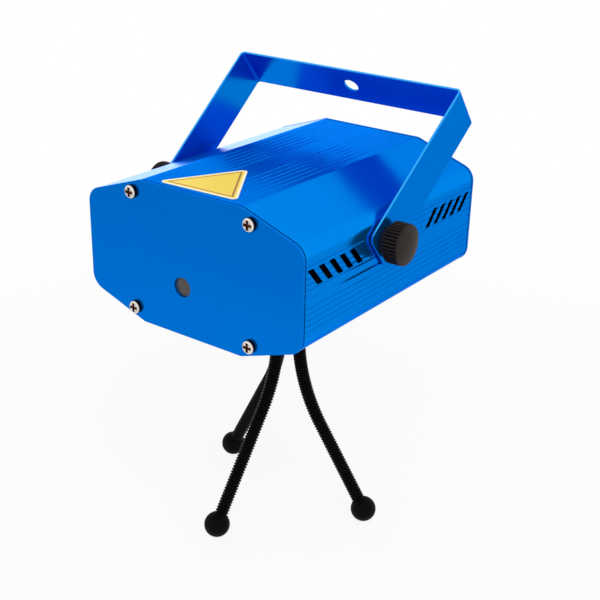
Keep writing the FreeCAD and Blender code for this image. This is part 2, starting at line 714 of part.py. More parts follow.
def make_knobs():
    """Inserts in the upper shell, and a thumb knob, stud and spacer on each side."""
    inserts = []
    for side, sign in (("left", -1), ("right", 1)):
        out = UNIT_X * sign
        skin = at(sign * SHELL_HALF_WIDTH, PIVOT_Y, PIVOT_Z)
        bore = STUD_RADIUS + FIT_GAP
        barrel = rod(INSERT_RADIUS, skin - out * INSERT_LENGTH, skin)
        flange = rod(INSERT_FLANGE_RADIUS, skin, skin + out * INSERT_FLANGE)
        drill = rod(bore, skin - out * (INSERT_LENGTH + OVERRUN), skin + out * (INSERT_FLANGE + OVERRUN))
        inserts.append(barrel.fuse(flange).cut(drill))
        spacer = [at(sign * x, PIVOT_Y, PIVOT_Z) for x in (SPACER_INSIDE, SPACER_INSIDE + SPACER_THICKNESS)]
        save(side + "_spacer", tube(SPACER_RADIUS, bore, *spacer))
        knob_start = at(sign * KNOB_INSIDE, PIVOT_Y, PIVOT_Z)
        knob = fluted_knob(KNOB_RADIUS, KNOB_LENGTH, KNOB_DOME, KNOB_EDGE, KNOB_RIBS, KNOB_FLUTE_RADIUS)
        knob = aimed(knob, knob_start, out)
        grip = knob_start + out * STUD_GRIP
        head_start = grip - out * STUD_HEAD
        knob = knob.cut([rod(bore, knob_start - out * OVERRUN, head_start),
                         rod(STUD_HEAD_RADIUS + FIT_GAP, head_start - out * FIT_GAP, grip + out * FIT_GAP)])
        stud = rod(STUD_RADIUS, skin - out * STUD_REACH, grip)
        stud = stud.fuse(rod(STUD_HEAD_RADIUS, head_start, grip))
        save(side + "_knob", knob)
        save(side + "_stud", stud)
    save("side_inserts", *inserts)


def make_tripod_head():
    """Insert in the case's floor, and the tripod's stud, pad and head."""
    axis = [at(0, TRIPOD_Y, z) for z in (-SHELL_HALF_HEIGHT, FLOOR, TRAY_TOP, HEAD_TOP, HEAD_BOTTOM)]
    outside, floor, tray, top, bottom = axis
    insert_top = at(0, TRIPOD_Y, TRIPOD_INSERT_TOP)
    insert = rod(TRIPOD_INSERT_RADIUS, outside, insert_top).fuse(rod(TRIPOD_FLANGE_RADIUS, floor, tray))
    bore = TRIPOD_STUD_RADIUS + FIT_GAP
    save("tripod_insert", insert.cut(rod(bore, outside - UNIT_Z * OVERRUN, insert_top + UNIT_Z * OVERRUN)))
    stud_bottom = top - UNIT_Z * TRIPOD_STUD_ROOT
    save("tripod_stud", rod(TRIPOD_STUD_RADIUS, stud_bottom, insert_top - UNIT_Z * TRIPOD_STUD_SHORT))
    save("tripod_pad", tube(PAD_RADIUS, bore, top, top + UNIT_Z * PAD_THICKNESS))
    neck = top - UNIT_Z * HEAD_NECK
    collar = neck - UNIT_Z * HEAD_TAPER
    head = rod(HEAD_NECK_RADIUS, neck, top)
    cone = Part.makeCone(HEAD_RADIUS, HEAD_NECK_RADIUS, HEAD_TAPER, collar, UNIT_Z)
    skirt = aimed(turned(HEAD_RADIUS, HEAD_HEIGHT - HEAD_NECK - HEAD_TAPER, HEAD_EDGE), collar, -UNIT_Z)
    head = head.fuse([cone, skirt])
    cuts = [rod(bore, stud_bottom - UNIT_Z * FIT_GAP, top + UNIT_Z * OVERRUN)]
    hole = LEG_CREST_RADIUS + LOOSE_GAP
    for x, y in ring(len(LEG_TURNS), SOCKET_CIRCLE, SOCKET_TURN):
        mouth = bottom + at(x, y, 0)
        cuts.append(rod(hole, mouth - UNIT_Z * OVERRUN, mouth + UNIT_Z * SOCKET_DEPTH))
    save("tripod_head", head.cut(cuts))


def leg_line(index):
    """A leg's centre line: root, start of the bend, end of the bend, middle of the foot, and its ways."""
    x, y = ring(len(LEG_TURNS), SOCKET_CIRCLE, SOCKET_TURN)[index]
    start = at(x, TRIPOD_Y + y, HEAD_BOTTOM)
    root = start + UNIT_Z * (SOCKET_DEPTH - LOOSE_GAP)
    turn = math.radians(LEG_TURNS[index])
    bend = math.radians(LEG_BENDS[index])
    radius = LEG_BEND_RADII[index]
    out = FreeCAD.Vector(math.cos(turn), math.sin(turn), 0)
    across = FreeCAD.Vector(-math.sin(turn), math.cos(turn), 0)
    end = start + out * (radius * (1 - math.cos(bend))) - UNIT_Z * (radius * math.sin(bend))
    way = out * math.sin(bend) - UNIT_Z * math.cos(bend)
    foot = end + way * ((end.z - FOOT_Z) / math.cos(bend))
    return root, start, end, foot, out, across, way


def leg_bar(index, radius, before, after):
    """A round bar on a leg's centre line, from before its root to short of the middle of its foot."""
    root, start, end, foot, out, across, way = leg_line(index)
    bend_middle = start + out * LEG_BEND_RADII[index]
    disc = Part.Face(Part.Wire([Part.makeCircle(radius, start, UNIT_Z)]))
    elbow = disc.revolve(bend_middle, across, -LEG_BENDS[index])
    pieces = [rod(radius, root + UNIT_Z * before, start), rod(radius, end, foot - way * after)]
    return elbow.fuse(pieces).removeSplitter()


def ribbed_sleeve(index):
    """A sleeve with one rib for each pitch of its centre line: valley, crest, crest, valley."""
    root, start, end, foot, out, across, way = leg_line(index)
    radius = LEG_BEND_RADII[index]
    straight = (root - start).Length
    curve = radius * math.radians(LEG_BENDS[index])
    last = (foot - end).Length - FOOT_SOCKET - FACE_GAP
    length = straight + curve + last
    ribs = round(length / RIB_PITCH)
    pitch = length / ribs
    circles = []
    places = [(rib + share) * pitch for rib in range(ribs) for share in RIB_PLACE_SHARES]
    sizes = [LEG_VALLEY_RADIUS, LEG_CREST_RADIUS, LEG_CREST_RADIUS, LEG_VALLEY_RADIUS] * ribs
    for place, size in zip(places + [length], sizes + [LEG_VALLEY_RADIUS]):
        angle = min(max(place - straight, 0) / radius, math.radians(LEG_BENDS[index]))
        point = start + out * (radius * (1 - math.cos(angle))) - UNIT_Z * (radius * math.sin(angle))
        heading = out * math.sin(angle) - UNIT_Z * math.cos(angle)
        if place < straight:
            point = root - UNIT_Z * place
        if place > straight + curve:
            point = end + way * (place - straight - curve)
        circle = Part.Wire([Part.makeCircle(size)])
        turn = FreeCAD.Rotation(across, heading.cross(across), heading, "ZXY")
        circle.Placement = FreeCAD.Placement(point, turn)
        circles.append(circle)
    return Part.makeLoft(circles, True, True)


def ball_foot():
    """A ball about zero, with a seat for the sleeve and a hole for the wire on its +Z side."""
    beyond = FOOT_RADIUS + OVERRUN
    seat = rod(LEG_CREST_RADIUS + FIT_GAP, at(0, 0, FOOT_SOCKET), at(0, 0, beyond))
    wire_hole = rod(LEG_BORE_RADIUS, at(0, 0, FOOT_CORE_REACH), at(0, 0, beyond))
    ball = Part.makeSphere(FOOT_RADIUS)
    ball.rotate(NOWHERE, UNIT_X, 90.0)
    return ball.cut(seat).cut(wire_hole)


def make_legs():
    """Three legs: a ribbed sleeve, its core wire and its foot."""
    for index in range(len(LEG_TURNS)):
        name = "leg_" + str(index + 1)
        foot = leg_line(index)[3]
        way = leg_line(index)[6]
        sleeve = ribbed_sleeve(index).cut(leg_bar(index, LEG_BORE_RADIUS, OVERRUN, FOOT_SOCKET - OVERRUN))
        save(name + "_sleeve", sleeve)
        save(name + "_core", leg_bar(index, CORE_RADIUS, 0, FOOT_CORE_REACH))
        save(name + "_foot", aimed(ball_foot(), foot, -way))


def tray_screw_places():
    """The four screws that hold the tray, as (x, y)."""
    side = TRAY_HALF_WIDTH - TRAY_SCREW_INSET
    return [(x, y) for x in (-side, side) for y in (TRAY_FRONT + TRAY_SCREW_INSET, TRIPOD_Y)]


def tray_screw(x, y, clearance):
    """A countersunk screw from below, or, with a clearance, the hole for it."""
    bottom = at(x, y, -SHELL_HALF_HEIGHT)
    wide = TRAY_SCREW_HEAD_RADIUS + clearance
    narrow = TRAY_SCREW_RADIUS + clearance
    head = Part.makeCone(wide, narrow, TRAY_SCREW_HEAD, bottom, UNIT_Z)
    return head.fuse(rod(narrow, bottom, at(x, y, TRAY_TOP)))


def make_tray():
    """Tray on the floor, with a hole round the tripod's insert."""
    x0, x1 = -TRAY_HALF_WIDTH, TRAY_HALF_WIDTH
    outline = rectangle(x0, x1, TRAY_FRONT, CASE_DEPTH - TRAY_BACK)
    tray = prism_z(outline, [TRAY_ROUND] * 4, FLOOR, TRAY_TOP)
    below = at(0, TRIPOD_Y, FLOOR - OVERRUN)
    cuts = [rod(TRIPOD_FLANGE_RADIUS + LOOSE_GAP, below, at(0, TRIPOD_Y, TRAY_TOP + OVERRUN))]
    screws = []
    slot = RECESS_WIDTH / 2
    for x, y in tray_screw_places():
        cuts.append(tray_screw(x, y, FIT_GAP))
        recess = block(x - TRAY_SCREW_RADIUS, x + TRAY_SCREW_RADIUS, y - slot, y + slot,
                       -SHELL_HALF_HEIGHT - OVERRUN, TRAY_SCREW_HEAD / 2 - SHELL_HALF_HEIGHT)
        screws.append(tray_screw(x, y, 0).cut(recess))
    save("chassis_tray", tray.cut(cuts))
    save("tray_screws", *screws)


def gear_points(teeth, radius, turn):
    """Outline of a spur gear about zero: each tooth is a trapezium, one of them at angle turn."""
    pitch = 360.0 / teeth
    tip = radius + GEAR_MODULE * GEAR_ADDENDUM_SHARE
    root = radius - GEAR_MODULE * GEAR_DEDENDUM_SHARE
    root_share, tip_share = TOOTH_ROOT_SHARES
    points = []
    for tooth in range(teeth):
        middle = turn + tooth * pitch
        for share, reach in ((-root_share, root), (-tip_share, tip), (tip_share, tip), (root_share, root)):
            angle = math.radians(middle + share * pitch)
            points.append((reach * math.cos(angle), reach * math.sin(angle)))
    return points


def make_grating():
    """Ring gear with its glass disc, the bracket it turns in, the motor and its pinion."""
    gear_back = GEAR_FRONT + GEAR_FACE
    sleeve_back = BRACKET_BACK + LOOSE_GAP + GEAR_CATCH_FACE
    along = [at(APERTURE_X, y, APERTURE_Z) for y in (GEAR_FRONT, gear_back, BRACKET_BACK, sleeve_back)]
    front, shoulder, wall, back = along
    points = around(gear_points(GEAR_TEETH, GEAR_RADIUS, MOTOR_TURN), APERTURE_X, APERTURE_Z)
    gear = prism_y(points, sharp(points), GEAR_FRONT, gear_back)
    gear = gear.fuse([rod(GEAR_SLEEVE_RADIUS, shoulder, back),
                      rod(GEAR_SLEEVE_RADIUS + GEAR_CATCH, wall + UNIT_Y * LOOSE_GAP, back)])
    seat_back = front + UNIT_Y * DISC_THICKNESS
    gear = gear.cut([rod(GEAR_BORE_RADIUS, front - UNIT_Y * OVERRUN, back + UNIT_Y * OVERRUN),
                     rod(DISC_RADIUS + FIT_GAP, front - UNIT_Y * OVERRUN, seat_back)])
    save("grating_gear", gear)
    save("grating_disc", rod(DISC_RADIUS, front, seat_back))

    low = APERTURE_X - BRACKET_HALF_WIDTH
    high = APERTURE_X + BRACKET_HALF_WIDTH
    top = MOTOR_Z + BRACKET_RISE
    outline = rectangle(low, high, TRAY_TOP, top)
    bracket = prism_y(outline, [0, 0, BRACKET_ROUND, BRACKET_ROUND], BRACKET_FRONT, BRACKET_BACK)
    foot_back = BRACKET_BACK + BRACKET_FOOT
    foot = block(low, high, BRACKET_FRONT, foot_back, TRAY_TOP, TRAY_TOP + BRACKET_THICKNESS)
    bearing = rod(GEAR_SLEEVE_RADIUS + FIT_GAP, front, wall + UNIT_Y * OVERRUN)
    motor = [at(MOTOR_X, y, MOTOR_Z) for y in (GEAR_FRONT, gear_back, BRACKET_FRONT, BRACKET_BACK)]
    pinion_front, pinion_back, boss_front, motor_front = motor
    boss = rod(MOTOR_BOSS_RADIUS + FIT_GAP, boss_front - UNIT_Y * OVERRUN, motor_front + UNIT_Y * OVERRUN)
    save("grating_bracket", bracket.fuse(foot).cut([bearing, boss]))

    motor_back = motor_front + UNIT_Y * MOTOR_LENGTH
    shaft_end = motor_front + UNIT_Y * PINION_SHAFT_REACH
    can = rod(MOTOR_RADIUS, motor_front, motor_back)
    can = can.fuse([rod(MOTOR_BOSS_RADIUS, boss_front, motor_front),
                    rod(MOTOR_CAP_RADIUS, motor_back, motor_back + UNIT_Y * MOTOR_CAP)])
    drill = rod(PINION_SHAFT_RADIUS + FIT_GAP, boss_front - UNIT_Y * OVERRUN, shaft_end + UNIT_Y * FACE_GAP)
    save("grating_motor", can.cut(drill))
    turn = MOTOR_TURN + 180.0 + 180.0 / PINION_TEETH
    points = around(gear_points(PINION_TEETH, PINION_RADIUS, turn), MOTOR_X, MOTOR_Z)
    pinion = prism_y(points, sharp(points), GEAR_FRONT, gear_back)
    save("motor_pinion", pinion.fuse(rod(PINION_SHAFT_RADIUS, pinion_front, shaft_end)))


def make_lasers():
    """Green module along the beam, red module across it, their blocks and the combiner."""
    start = at(APERTURE_X, GREEN_START, APERTURE_Z)
    nose = start + UNIT_Y * GREEN_NOSE
    end = start + UNIT_Y * GREEN_LENGTH
    green = rod(GREEN_NOSE_RADIUS, start, nose).fuse(rod(GREEN_RADIUS, nose, end))
    save("green_laser", green.cut(rod(BEAM_RADIUS, start - UNIT_Y * OVERRUN, nose)))
    half = GREEN_RADIUS + BLOCK_WALL
    top = APERTURE_Z + half
    front = GREEN_BLOCK_BACK - GREEN_BLOCK_LENGTH
    body = block(APERTURE_X - half, APERTURE_X + half, front, GREEN_BLOCK_BACK, TRAY_TOP, top)
    bore = [at(APERTURE_X, y, APERTURE_Z) for y in (front - OVERRUN, GREEN_BLOCK_BACK + OVERRUN)]
    save("green_laser_block", body.cut(rod(GREEN_RADIUS + FIT_GAP, *bore)))

    start = at(RED_START, COMBINER_Y, APERTURE_Z)
    red = rod(RED_RADIUS, start, start + UNIT_X * RED_LENGTH)
    save("red_laser", red.cut(rod(BEAM_RADIUS, start - UNIT_X * OVERRUN, start + UNIT_X * RED_RADIUS)))
    half = RED_RADIUS + BLOCK_WALL
    block_end = RED_BLOCK_START + RED_BLOCK_LENGTH
    top = APERTURE_Z + half
    body = block(RED_BLOCK_START, block_end, COMBINER_Y - half, COMBINER_Y + half, TRAY_TOP, top)
    bore = [at(x, COMBINER_Y, APERTURE_Z) for x in (RED_BLOCK_START - OVERRUN, block_end + OVERRUN)]
    save("red_laser_block", body.cut(rod(RED_RADIUS + FIT_GAP, *bore)))

    middle = at(APERTURE_X, COMBINER_Y, 0)
    long = COMBINER_LENGTH / 2
    thick = COMBINER_THICKNESS / 2
    bottom = APERTURE_Z - COMBINER_HEIGHT / 2
    top = bottom + COMBINER_HEIGHT
    glass = block(-long, long, -thick, thick, bottom, top)
    slot = block(-long - FIT_GAP, long + FIT_GAP, -thick - FIT_GAP, thick + FIT_GAP, bottom, top)
    for piece in (glass, slot):
        piece.rotate(NOWHERE, UNIT_Z, COMBINER_TURN)
        piece.translate(middle)
    half = HOLDER_SIZE / 2
    holder = block(APERTURE_X - half, APERTURE_X + half, COMBINER_Y - half, COMBINER_Y + half,
                   TRAY_TOP, bottom + HOLDER_GRIP)
    save("combiner_glass", glass)
    save("combiner_holder", holder.cut(slot))


def make_board():
    """Circuit board, its components, standoffs and screws."""
    x0, x1 = -BOARD_HALF_WIDTH, BOARD_HALF_WIDTH
    hole_x = BOARD_HALF_WIDTH - BOARD_HOLE_INSET
    hole_y = (BOARD_FRONT + BOARD_HOLE_INSET, BOARD_BACK - BOARD_HOLE_INSET)
    places = [(x, y) for x in (-hole_x, hole_x) for y in hole_y]
    hole = BOARD_SCREW_RADIUS + FIT_GAP
    drills = [rod(hole, at(x, y, TRAY_TOP), at(x, y, BOARD_TOP + OVERRUN)) for x, y in places]
    board = block(x0, x1, BOARD_FRONT, BOARD_BACK, BOARD_BOTTOM, BOARD_TOP).cut(drills)
    posts = [rod(STANDOFF_RADIUS, at(x, y, TRAY_TOP), at(x, y, BOARD_BOTTOM)) for x, y in places]
    posts = [post.cut(drills) for post in posts]
    screw = cross_screw(BOARD_SCREW_RADIUS, BOARD_SCREW_LENGTH, BOARD_SCREW_HEAD_RADIUS,
                        BOARD_SCREW_HEAD, BOARD_SCREW_HEAD / 2)
    save("circuit_board", board)
    save("board_standoffs", *posts)
    save("board_screws", *[aimed(screw, at(x, y, BOARD_TOP), -UNIT_Z) for x, y in places])

    middle = BOARD_FRONT + BOARD_LENGTH / 2
    parts = []
    for x in (-CAPACITOR_RADIUS * 2, CAPACITOR_RADIUS * 2):
        start = at(x, middle + CHIP_SIZE, BOARD_TOP)
        parts.append(aimed(turned(CAPACITOR_RADIUS, CAPACITOR_HEIGHT, CAPACITOR_EDGE), start, UNIT_Z))
    half = CHIP_SIZE / 2
    top = BOARD_TOP + CHIP_HEIGHT
    for x in (-CHIP_PITCH, 0, CHIP_PITCH):
        parts.append(block(x - half, x + half, middle - half, middle + half, BOARD_TOP, top))
    half = TERMINAL_LENGTH / 2
    front = BOARD_FRONT + TERMINAL_WIDTH / 2
    top = BOARD_TOP + TERMINAL_HEIGHT
    for x in (-TERMINAL_PITCH / 2, TERMINAL_PITCH / 2):
        parts.append(block(x - half, x + half, front, front + TERMINAL_WIDTH, BOARD_TOP, top))
    save("board_components", *parts)


def make_fan():
    """Fan frame behind the rear plate, its rotor and its screws."""
    half = FAN_SIZE / 2
    front = SHELL_BACK - FAN_DEPTH
    outline = rectangle(FAN_X - half, FAN_X + half, -half, half)
    frame = prism_y(outline, [FAN_ROUND] * 4, front, SHELL_BACK)
    axis = [at(FAN_X, y, 0) for y in (front, front + FAN_SPIDER, SHELL_BACK)]
    face, spider, rear = axis
    before = face - UNIT_Y * OVERRUN
    frame = frame.cut(rod(FAN_BORE_RADIUS, before, rear + UNIT_Y * OVERRUN))
    arms = [rod(FAN_HUB_RADIUS, face, spider)]
    for step in range(FAN_SPIDER_ARMS):
        arm = block(0, FAN_BORE_RADIUS + FAN_SPIDER / 2, 0, FAN_SPIDER, -FAN_SPIDER / 2, FAN_SPIDER / 2)
        arm.rotate(NOWHERE, UNIT_Y, 90.0 + 360.0 * step / FAN_SPIDER_ARMS)
        arm.translate(face)
        arms.append(arm)
    frame = frame.fuse(arms)
    drills = [rod(FAN_SHAFT_RADIUS + FIT_GAP, before, spider + UNIT_Y * OVERRUN)]
    offset = half - FAN_SCREW_INSET
    offsets = (-offset, offset)
    places = [(FAN_X + x, z) for x in offsets for z in offsets]
    hole = FAN_SCREW_RADIUS + FIT_GAP
    for x, z in places:
        drills.append(rod(hole, at(x, front - OVERRUN, z), at(x, SHELL_BACK + OVERRUN, z)))
    save("fan_frame", frame.cut(drills))

    hub_front = spider + UNIT_Y * LOOSE_GAP
    hub_back = rear - UNIT_Y * FAN_SPIDER
    depth = (hub_back - hub_front).Length
    rotor = rod(FAN_HUB_RADIUS, hub_front, hub_back).fuse(rod(FAN_SHAFT_RADIUS, face, hub_front))
    blades = []
    half = FAN_BLADE_THICKNESS / 2
    for step in range(FAN_BLADES):
        blade = block(FAN_HUB_RADIUS / 2, FAN_BORE_RADIUS, -depth, depth, -half, half)
        blade.rotate(NOWHERE, UNIT_X, 90.0 - FAN_BLADE_LEAN)
        blade.rotate(NOWHERE, UNIT_Y, 360.0 * step / FAN_BLADES)
        blade.translate((hub_front + hub_back) / 2)
        blades.append(blade)
    sweep = rod(FAN_BORE_RADIUS - FAN_TIP_GAP, hub_front, hub_back)
    blades = [blade.common(sweep) for blade in blades]
    save("fan_rotor", rotor.fuse(blades))
    screw = cross_screw(FAN_SCREW_RADIUS, FAN_SCREW_LENGTH, FAN_SCREW_HEAD_RADIUS,
                        FAN_SCREW_HEAD, FAN_SCREW_HEAD / 2)
    save("fan_screws", *[aimed(screw, at(x, CASE_DEPTH, z), -UNIT_Y) for x, z in places])
    return places


def make_rear_plate(fan_places):
    """Rear plate with the fan's holes and the holes of the controls."""
    plate = end_plate(SHELL_BACK, CASE_DEPTH)
    drills = [(PLATE_SCREW_RADIUS + FIT_GAP, x, z) for x, z in port_places()]
    drills += [(FAN_SCREW_RADIUS + FIT_GAP, x, z) for x, z in fan_places]
    for share, count in zip(FAN_RING_SHARES, FAN_RING_HOLES):
        places = ring(count, FAN_BORE_RADIUS * share)
        drills += [(FAN_HOLE_RADIUS, FAN_X + x, z) for x, z in places]
    drills.append((POT_NECK_RADIUS + FIT_GAP, POT_X, POT_Z))
    drills.append((JACK_NECK_RADIUS + FIT_GAP, JACK_X, JACK_Z))
    drills.append((MIC_HOLE_RADIUS, MIC_X, MIC_Z))
    front = SHELL_BACK - OVERRUN
    back = CASE_DEPTH + OVERRUN
    cuts = [rod(radius, at(x, front, z), at(x, back, z)) for radius, x, z in drills]
    half = LEVER_LENGTH / 2 + SWITCH_TRAVEL + LOOSE_GAP
    tall = LEVER_HEIGHT / 2 + LOOSE_GAP
    cuts.append(block(SWITCH_X - half, SWITCH_X + half, front, back, SWITCH_Z - tall, SWITCH_Z + tall))
    save("rear_plate", plate.cut(cuts))


def make_speed_control():
    """Speed control behind the rear plate, with its nut, shaft and knob."""
    inside, seat, skin = [at(POT_X, y, POT_Z) for y in (SHELL_BACK - POT_DEPTH, SHELL_BACK, CASE_DEPTH)]
    neck_end = skin + UNIT_Y * POT_NECK
    shaft_start = inside + UNIT_Y * (POT_DEPTH / 2)
    body = rod(POT_RADIUS, inside, seat).fuse(rod(POT_NECK_RADIUS, seat, neck_end))
    bore = rod(POT_SHAFT_RADIUS + FIT_GAP, shaft_start - UNIT_Y * FACE_GAP, neck_end + UNIT_Y * OVERRUN)
    save("speed_control", body.cut(bore))
    save("speed_control_nut", hex_nut(POT_NUT_RADIUS, POT_NUT, POT_NECK_RADIUS + FIT_GAP, skin, UNIT_Y))
    knob_start = skin + UNIT_Y * SPEED_KNOB_START
    shaft_end = knob_start + UNIT_Y * (SPEED_KNOB_LENGTH / 2)
    save("speed_shaft", rod(POT_SHAFT_RADIUS, shaft_start, shaft_end))
    knob = turned(SPEED_KNOB_RADIUS, SPEED_KNOB_LENGTH, SPEED_KNOB_EDGE)
    cuts = []
    flute_end = SPEED_KNOB_LENGTH - SPEED_KNOB_EDGE * 2
    for x, y in ring(SPEED_KNOB_RIBS, SPEED_KNOB_RADIUS + SPEED_KNOB_FLUTE_RADIUS * FLUTE_OUT_SHARE):
        cuts.append(rod(SPEED_KNOB_FLUTE_RADIUS, at(x, y, -OVERRUN), at(x, y, flute_end)))
    cuts.append(Part.makeCylinder(POT_SHAFT_RADIUS + FIT_GAP, SPEED_KNOB_LENGTH / 2))
    half = POINTER_WIDTH / 2
    top = SPEED_KNOB_LENGTH - POINTER_DEPTH
    cuts.append(block(-half, half, 0, SPEED_KNOB_RADIUS + OVERRUN, top, SPEED_KNOB_LENGTH + OVERRUN))
    save("speed_knob", aimed(knob.cut(cuts), knob_start, UNIT_Y))


def make_power_socket():
    """Round power socket with a centre pin, and its nut."""
    inside, seat, skin = [at(JACK_X, y, JACK_Z) for y in (SHELL_BACK - JACK_DEPTH, SHELL_BACK, CASE_DEPTH)]
    mouth = skin + UNIT_Y * JACK_NECK
    body = rod(JACK_RADIUS, inside, seat).fuse(rod(JACK_NECK_RADIUS, seat, mouth))
    bottom = mouth - UNIT_Y * JACK_BORE
    body = body.cut(rod(JACK_BORE_RADIUS, bottom, mouth + UNIT_Y * OVERRUN))
    pin = rod(JACK_PIN_RADIUS, bottom - UNIT_Y * OVERRUN, mouth - UNIT_Y * JACK_PIN_SETBACK)
    save("power_socket", body.fuse(pin))
    save("power_socket_nut", hex_nut(JACK_NUT_RADIUS, JACK_NUT, JACK_NECK_RADIUS + FIT_GAP, skin, UNIT_Y))


def make_switch():
    """Slide switch behind the rear plate, its lever and the microphone beside it."""
    half = SWITCH_LENGTH / 2
    tall = SWITCH_HEIGHT / 2
    front = SHELL_BACK - SWITCH_DEPTH
    body = block(SWITCH_X - half, SWITCH_X + half, front, SHELL_BACK, SWITCH_Z - tall, SWITCH_Z + tall)
    foot_half = LEVER_LENGTH / 2 + LEVER_FOOT_SPREAD
    foot_tall = tall - SWITCH_WALL - FACE_GAP
    foot_front = SHELL_BACK - LEVER_FOOT - FACE_GAP
    room = foot_half + SWITCH_TRAVEL + LOOSE_GAP
    tall_room = foot_tall + FACE_GAP
    cavity = block(SWITCH_X - room, SWITCH_X + room, foot_front - FACE_GAP, SHELL_BACK + OVERRUN,
                   SWITCH_Z - tall_room, SWITCH_Z + tall_room)
    foot = block(SWITCH_X - foot_half, SWITCH_X + foot_half, foot_front, SHELL_BACK - FACE_GAP,
                 SWITCH_Z - foot_tall, SWITCH_Z + foot_tall)
    half = LEVER_LENGTH / 2
    tall = LEVER_HEIGHT / 2
    thumb = block(SWITCH_X - half, SWITCH_X + half, foot_front, CASE_DEPTH + LEVER_RISE,
                  SWITCH_Z - tall, SWITCH_Z + tall)
    save("mode_switch", body.cut(cavity))
    save("mode_lever", foot.fuse(thumb))
    capsule = rod(MIC_RADIUS, at(MIC_X, SHELL_BACK - MIC_DEPTH, MIC_Z), at(MIC_X, SHELL_BACK, MIC_Z))
    save("microphone", capsule)


os.makedirs("parts", exist_ok=True)
make_shells()
make_front_plate()
make_plate_screws()
make_aperture()
make_label()
make_yoke()
make_knobs()
make_tripod_head()
make_legs()
make_tray()
make_grating()
make_lasers()
make_board()
make_rear_plate(make_fan())
make_speed_control()
make_power_socket()
make_switch()
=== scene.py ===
import json
import math

import bmesh
import bpy
import numpy as np
from mathutils import Matrix, Vector


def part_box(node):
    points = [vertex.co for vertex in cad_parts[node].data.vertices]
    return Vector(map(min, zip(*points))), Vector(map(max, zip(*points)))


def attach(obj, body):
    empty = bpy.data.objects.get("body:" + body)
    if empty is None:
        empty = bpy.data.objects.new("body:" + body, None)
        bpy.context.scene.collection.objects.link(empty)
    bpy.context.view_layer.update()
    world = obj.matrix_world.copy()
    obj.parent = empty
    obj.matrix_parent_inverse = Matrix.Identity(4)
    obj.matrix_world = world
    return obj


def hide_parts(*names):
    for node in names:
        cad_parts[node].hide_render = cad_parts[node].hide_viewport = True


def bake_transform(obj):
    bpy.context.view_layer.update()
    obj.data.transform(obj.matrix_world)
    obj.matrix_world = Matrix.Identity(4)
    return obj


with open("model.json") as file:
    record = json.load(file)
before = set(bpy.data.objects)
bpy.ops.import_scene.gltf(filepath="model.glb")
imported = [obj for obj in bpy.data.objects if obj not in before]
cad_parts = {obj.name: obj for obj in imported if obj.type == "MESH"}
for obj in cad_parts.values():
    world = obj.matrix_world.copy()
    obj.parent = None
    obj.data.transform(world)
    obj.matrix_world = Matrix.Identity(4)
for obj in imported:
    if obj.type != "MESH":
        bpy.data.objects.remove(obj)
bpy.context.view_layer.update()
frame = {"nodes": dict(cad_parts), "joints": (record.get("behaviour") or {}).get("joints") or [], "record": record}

NODES = frame["nodes"]
JOINTS = {joint["name"]: joint for joint in frame["joints"]}
MOUNTS = {mount["name"]: mount for mount in frame["record"]["mounts"]}
MM = 0.001

# Camera, fitted to the photograph about the middle of the front plate's face
CAMERA_AZIMUTH = 35.936  # degrees to the object's right of straight ahead
CAMERA_ELEVATION = 23.761
CAMERA_ROLL = 1.345
CAMERA_RIGHT = 36.04 * MM
CAMERA_UP = -10.58 * MM
CAMERA_BACK = 365.24 * MM
CAMERA_NEAR = 10.0 * MM
FOCAL_PIXELS = 1114.6
IMAGE_PIXELS = 600
SENSOR = 36.0

# Legs, in the sizes of the solids that they replace
LEG_COUNT = 3
LEG_BENDS = (32.5, 33.2, 31.2)  # degrees from upright at the foot
LEG_BEND_RADII = (51.1 * MM, 65.0 * MM, 47.7 * MM)
LEG_ROOT_DEPTH = 5.7 * MM  # how far a leg goes up into the tripod's head
LEG_CREST = 2.5 * MM
LEG_VALLEY = 2.1 * MM
RIB_PITCH = 1.1 * MM
RIB_SHARES = (0.0, 0.22, 0.6, 0.82, 1.0)  # of the pitch: valley, crest, crest, valley, valley
RIB_HEIGHTS = (0.0, 1.0, 1.0, 0.0, 0.0)
RIB_STEPS = 12
LEG_AROUND = 40

# Ball feet
FOOT_RADIUS = 4.9 * MM
FOOT_SEAT = 3.4 * MM  # from the middle of the ball to the end of the leg
FOOT_LIP = 2.95 * MM  # radius where the ball turns into its lip round the leg
FOOT_SEAM = 0.05 * MM
SEAM_SPREAD = 0.06  # half width of the seam, as a sine of its angle
FOOT_POLE = 0.02  # radians from the pole to the first ring
FOOT_AROUND = 96
FOOT_STEPS = 48
LIP_STEPS = 9

# Thumb knobs
KNOB_RIBS = 36
KNOB_RIB_STEPS = 12
KNOB_FLUTE = 0.42 * MM
FLUTE_POWER = 0.7  # under one, it makes the flutes wide and the ribs narrow
FLUTE_DIRT_AND_SHADE = (0.18 * MM, 0.36 * MM)  # depths under the ribs where the dirt and painted shade start and where they are whole
KNOB_EDGE = 0.7 * MM
KNOB_DOME = 0.8 * MM
KNOB_BACK_SHARE = 1.2  # of a flute, how far the back face draws in
FLUTE_END_SHARES = (0.8, 1.2)  # of the edge: where a flute has ended past the shoulder, and over what length
RIM_RINGS = 14
EDGE_STEPS = 9
FACE_STEPS = 16
FACE_POLE_SHARE = 0.02

# Cross-head screws in the plates
SCREW_HEAD = 2.4 * MM  # radius
RECESS_RADII = (1.9 * MM, 1.6 * MM)  # where the dirt of the recess starts and where it is whole
RECESS_DEPTH = 0.35 * MM  # under the top of the head, where that dirt is whole
SIDE_RADII = (1.7 * MM, 1.9 * MM)  # where the painted shade on the side starts and where it is whole
SIDE_DEPTHS = (0.3 * MM, 0.55 * MM)  # the same, under the top of the head

# Vent slots in the sides, whose walls take painted shade
VENT_SINK = 0.2 * MM  # depth of the grooves over the walls that show
VENT_WALL = 1.2 * MM  # depth of wall that shows
VENT_RISE = 6.95 * MM  # of their middle over the seam of the shells
VENT_HALF = 3.2 * MM  # half their height
STEP_LENGTH = 0.47 * MM  # of the step round the ends of the shells, which takes painted shade
